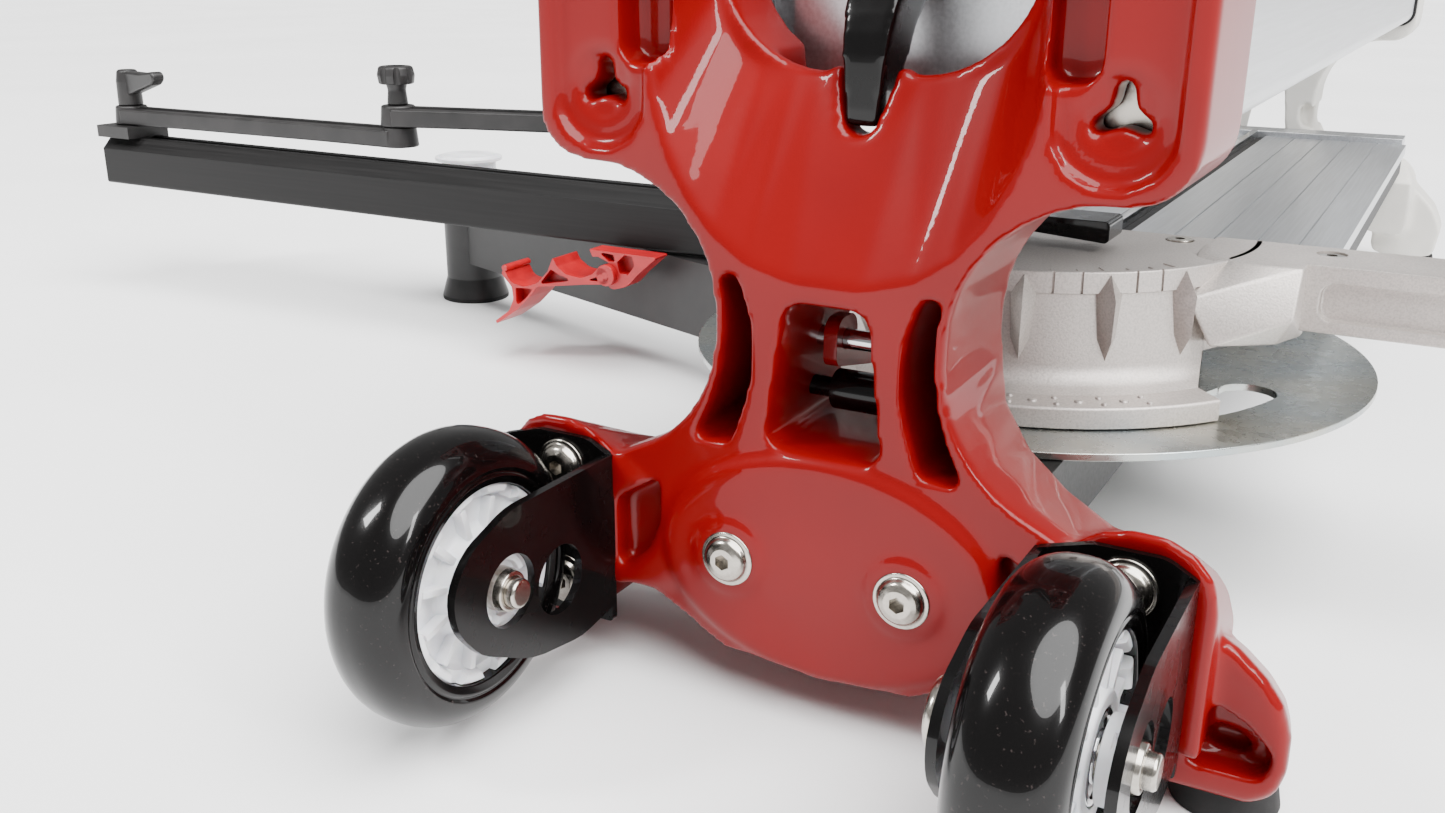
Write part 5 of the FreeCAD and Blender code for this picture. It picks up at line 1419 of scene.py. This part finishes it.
class CUTTER_OT_machined(bpy.types.Operator):
    """Break the edges of the extruded, milled and cut pieces"""
    bl_idname = "cutter.machined"
    bl_label = "Machined pieces"

    def execute(self, context):
        slots = slots_of_nodes()
        for node, (name, width) in MACHINED.items():
            machined(name, node, body_of(node), OTHER_FINISH.get(node, slots[node]), width)
        return {"FINISHED"}


class CUTTER_OT_finishes(bpy.types.Operator):
    """Give every node that keeps its own shape the finish of its slot"""
    bl_idname = "cutter.finishes"
    bl_label = "Finishes"

    def execute(self, context):
        for node, slot in slots_of_nodes().items():
            for mesh_slot in frame["nodes"][node].material_slots:
                mesh_slot.material = finish_of(slot)
        return {"FINISHED"}


CAMERA_PLACE = Vector((0.1704, -0.8349, 0.1382))        # metres, in the model's frame
CAMERA_RIGHT = Vector((0.87090, 0.49144, 0.00406))      # the view's own directions, one long each
CAMERA_DOWN = Vector((0.16060, -0.27678, -0.94742))
SENSOR = 36.0                                           # millimetres
LENS = 33.39654
FLOOR_HALF = 30.0                                       # metres
ROOM_LIGHT = 0.45                                       # strength of the white surroundings
SUN_POWER = 9.0
SUN_SPREAD = math.radians(60)                           # as wide as a ceiling of soft boxes
SUN_FROM = Vector((0.45, -0.2, 1.0))
LAMPS = (                                               # name, place, width and height, power
    ("key", (-1.4, -1.5, 1.5), (0.32, 0.6), 34),
    ("fill", (1.8, -1.0, 1.1), (0.25, 0.8), 20),
)
LIT_POINT = Vector((0, -0.4, 0))                        # the machine's front end, which the lamps face


def lamp(name, place, size, power):
    """Rectangular lamp that faces the machine's front end."""
    data = bpy.data.lights.new(name, "AREA")
    data.shape = "RECTANGLE"
    data.size, data.size_y = size
    data.energy = power
    obj = bpy.data.objects.new(name, data)
    obj.location = place
    obj.rotation_euler = (LIT_POINT - Vector(place)).to_track_quat("-Z", "Y").to_euler()
    bpy.context.scene.collection.objects.link(obj)
    return obj


class CUTTER_OT_stage(bpy.types.Operator):
    """Set the floor, the studio lights and the camera"""
    bl_idname = "cutter.stage"
    bl_label = "Stage"

    def execute(self, context):
        scene = context.scene
        bm = bmesh.new()
        bmesh.ops.create_grid(bm, x_segments=2, y_segments=2, size=FLOOR_HALF)
        mesh = bpy.data.meshes.new("studio_floor")
        bm.to_mesh(mesh)
        bm.free()
        floor = bpy.data.objects.new("studio_floor", mesh)
        floor.location.z = CAD_BOX[0][2]
        scene.collection.objects.link(floor)
        material, tree, shader, where = surface("white_floor", Roughness=0.85, Specular_IOR_Level=0.2)
        tree.links.new(blend(tree, grain(tree, where, 400), linear("F4F4F4"), linear("FAFAFA")),
                       shader.inputs["Base Color"])
        mesh.materials.append(material)
        world = bpy.data.worlds.new("studio")
        world.use_nodes = True
        surroundings = world.node_tree.nodes["Background"].inputs
        surroundings["Color"].default_value = (1, 1, 1, 1)
        surroundings["Strength"].default_value = ROOM_LIGHT
        scene.world = world
        data = bpy.data.lights.new("overhead", "SUN")
        data.energy = SUN_POWER
        data.angle = SUN_SPREAD
        overhead = bpy.data.objects.new("overhead", data)
        overhead.rotation_euler = SUN_FROM.to_track_quat("Z", "Y").to_euler()
        scene.collection.objects.link(overhead)
        for name, place, size, power in LAMPS:
            lamp(name, place, size, power)
        camera = bpy.data.cameras.new("camera")
        camera.sensor_width = SENSOR
        camera.lens = LENS
        camera.clip_start = 0.01
        view = bpy.data.objects.new("camera", camera)
        back = CAMERA_RIGHT.cross(-CAMERA_DOWN)
        turn = Matrix((CAMERA_RIGHT, -CAMERA_DOWN, back)).transposed().to_4x4()
        view.matrix_world = Matrix.Translation(CAMERA_PLACE) @ turn
        scene.collection.objects.link(view)
        scene.camera = view
        return {"FINISHED"}


OPERATORS = (CUTTER_OT_finishes, CUTTER_OT_front_casting, CUTTER_OT_rear_casting, CUTTER_OT_screws,
             CUTTER_OT_wheels, CUTTER_OT_swivel_disc, CUTTER_OT_protractor, CUTTER_OT_lever, CUTTER_OT_stop,
             CUTTER_OT_post_cap, CUTTER_OT_clip, CUTTER_OT_machined, CUTTER_OT_stage)


class CUTTER_PT_panel(bpy.types.Panel):
    """Lists the steps that build the tile cutter's finish"""
    bl_idname = "CUTTER_PT_panel"
    bl_label = "Tile cutter"
    bl_space_type = "VIEW_3D"
    bl_region_type = "UI"
    bl_category = "Tile Cutter"

    def draw(self, context):
        for group in (context.scene.cutter_sizes, context.scene.cutter_colours):
            for name in group.__annotations__:
                self.layout.prop(group, name)
        for operator in OPERATORS:
            self.layout.operator(operator.bl_idname)


CLASSES = (CutterSizes, CutterColours) + OPERATORS + (CUTTER_PT_panel,)


def register():
    """Register the classes and hang the settings on the scene."""
    for cls in CLASSES:
        bpy.utils.register_class(cls)
    bpy.types.Scene.cutter_sizes = bpy.props.PointerProperty(type=CutterSizes)
    bpy.types.Scene.cutter_colours = bpy.props.PointerProperty(type=CutterColours)


def unregister():
    """Undo register."""
    del bpy.types.Scene.cutter_colours
    del bpy.types.Scene.cutter_sizes
    for cls in reversed(CLASSES):
        bpy.utils.unregister_class(cls)


def main():
    """Build everything in order."""
    register()
    for operator in OPERATORS:
        group, name = operator.bl_idname.split(".")
        getattr(getattr(bpy.ops, group), name)()


if __name__ == "__main__":
    main()
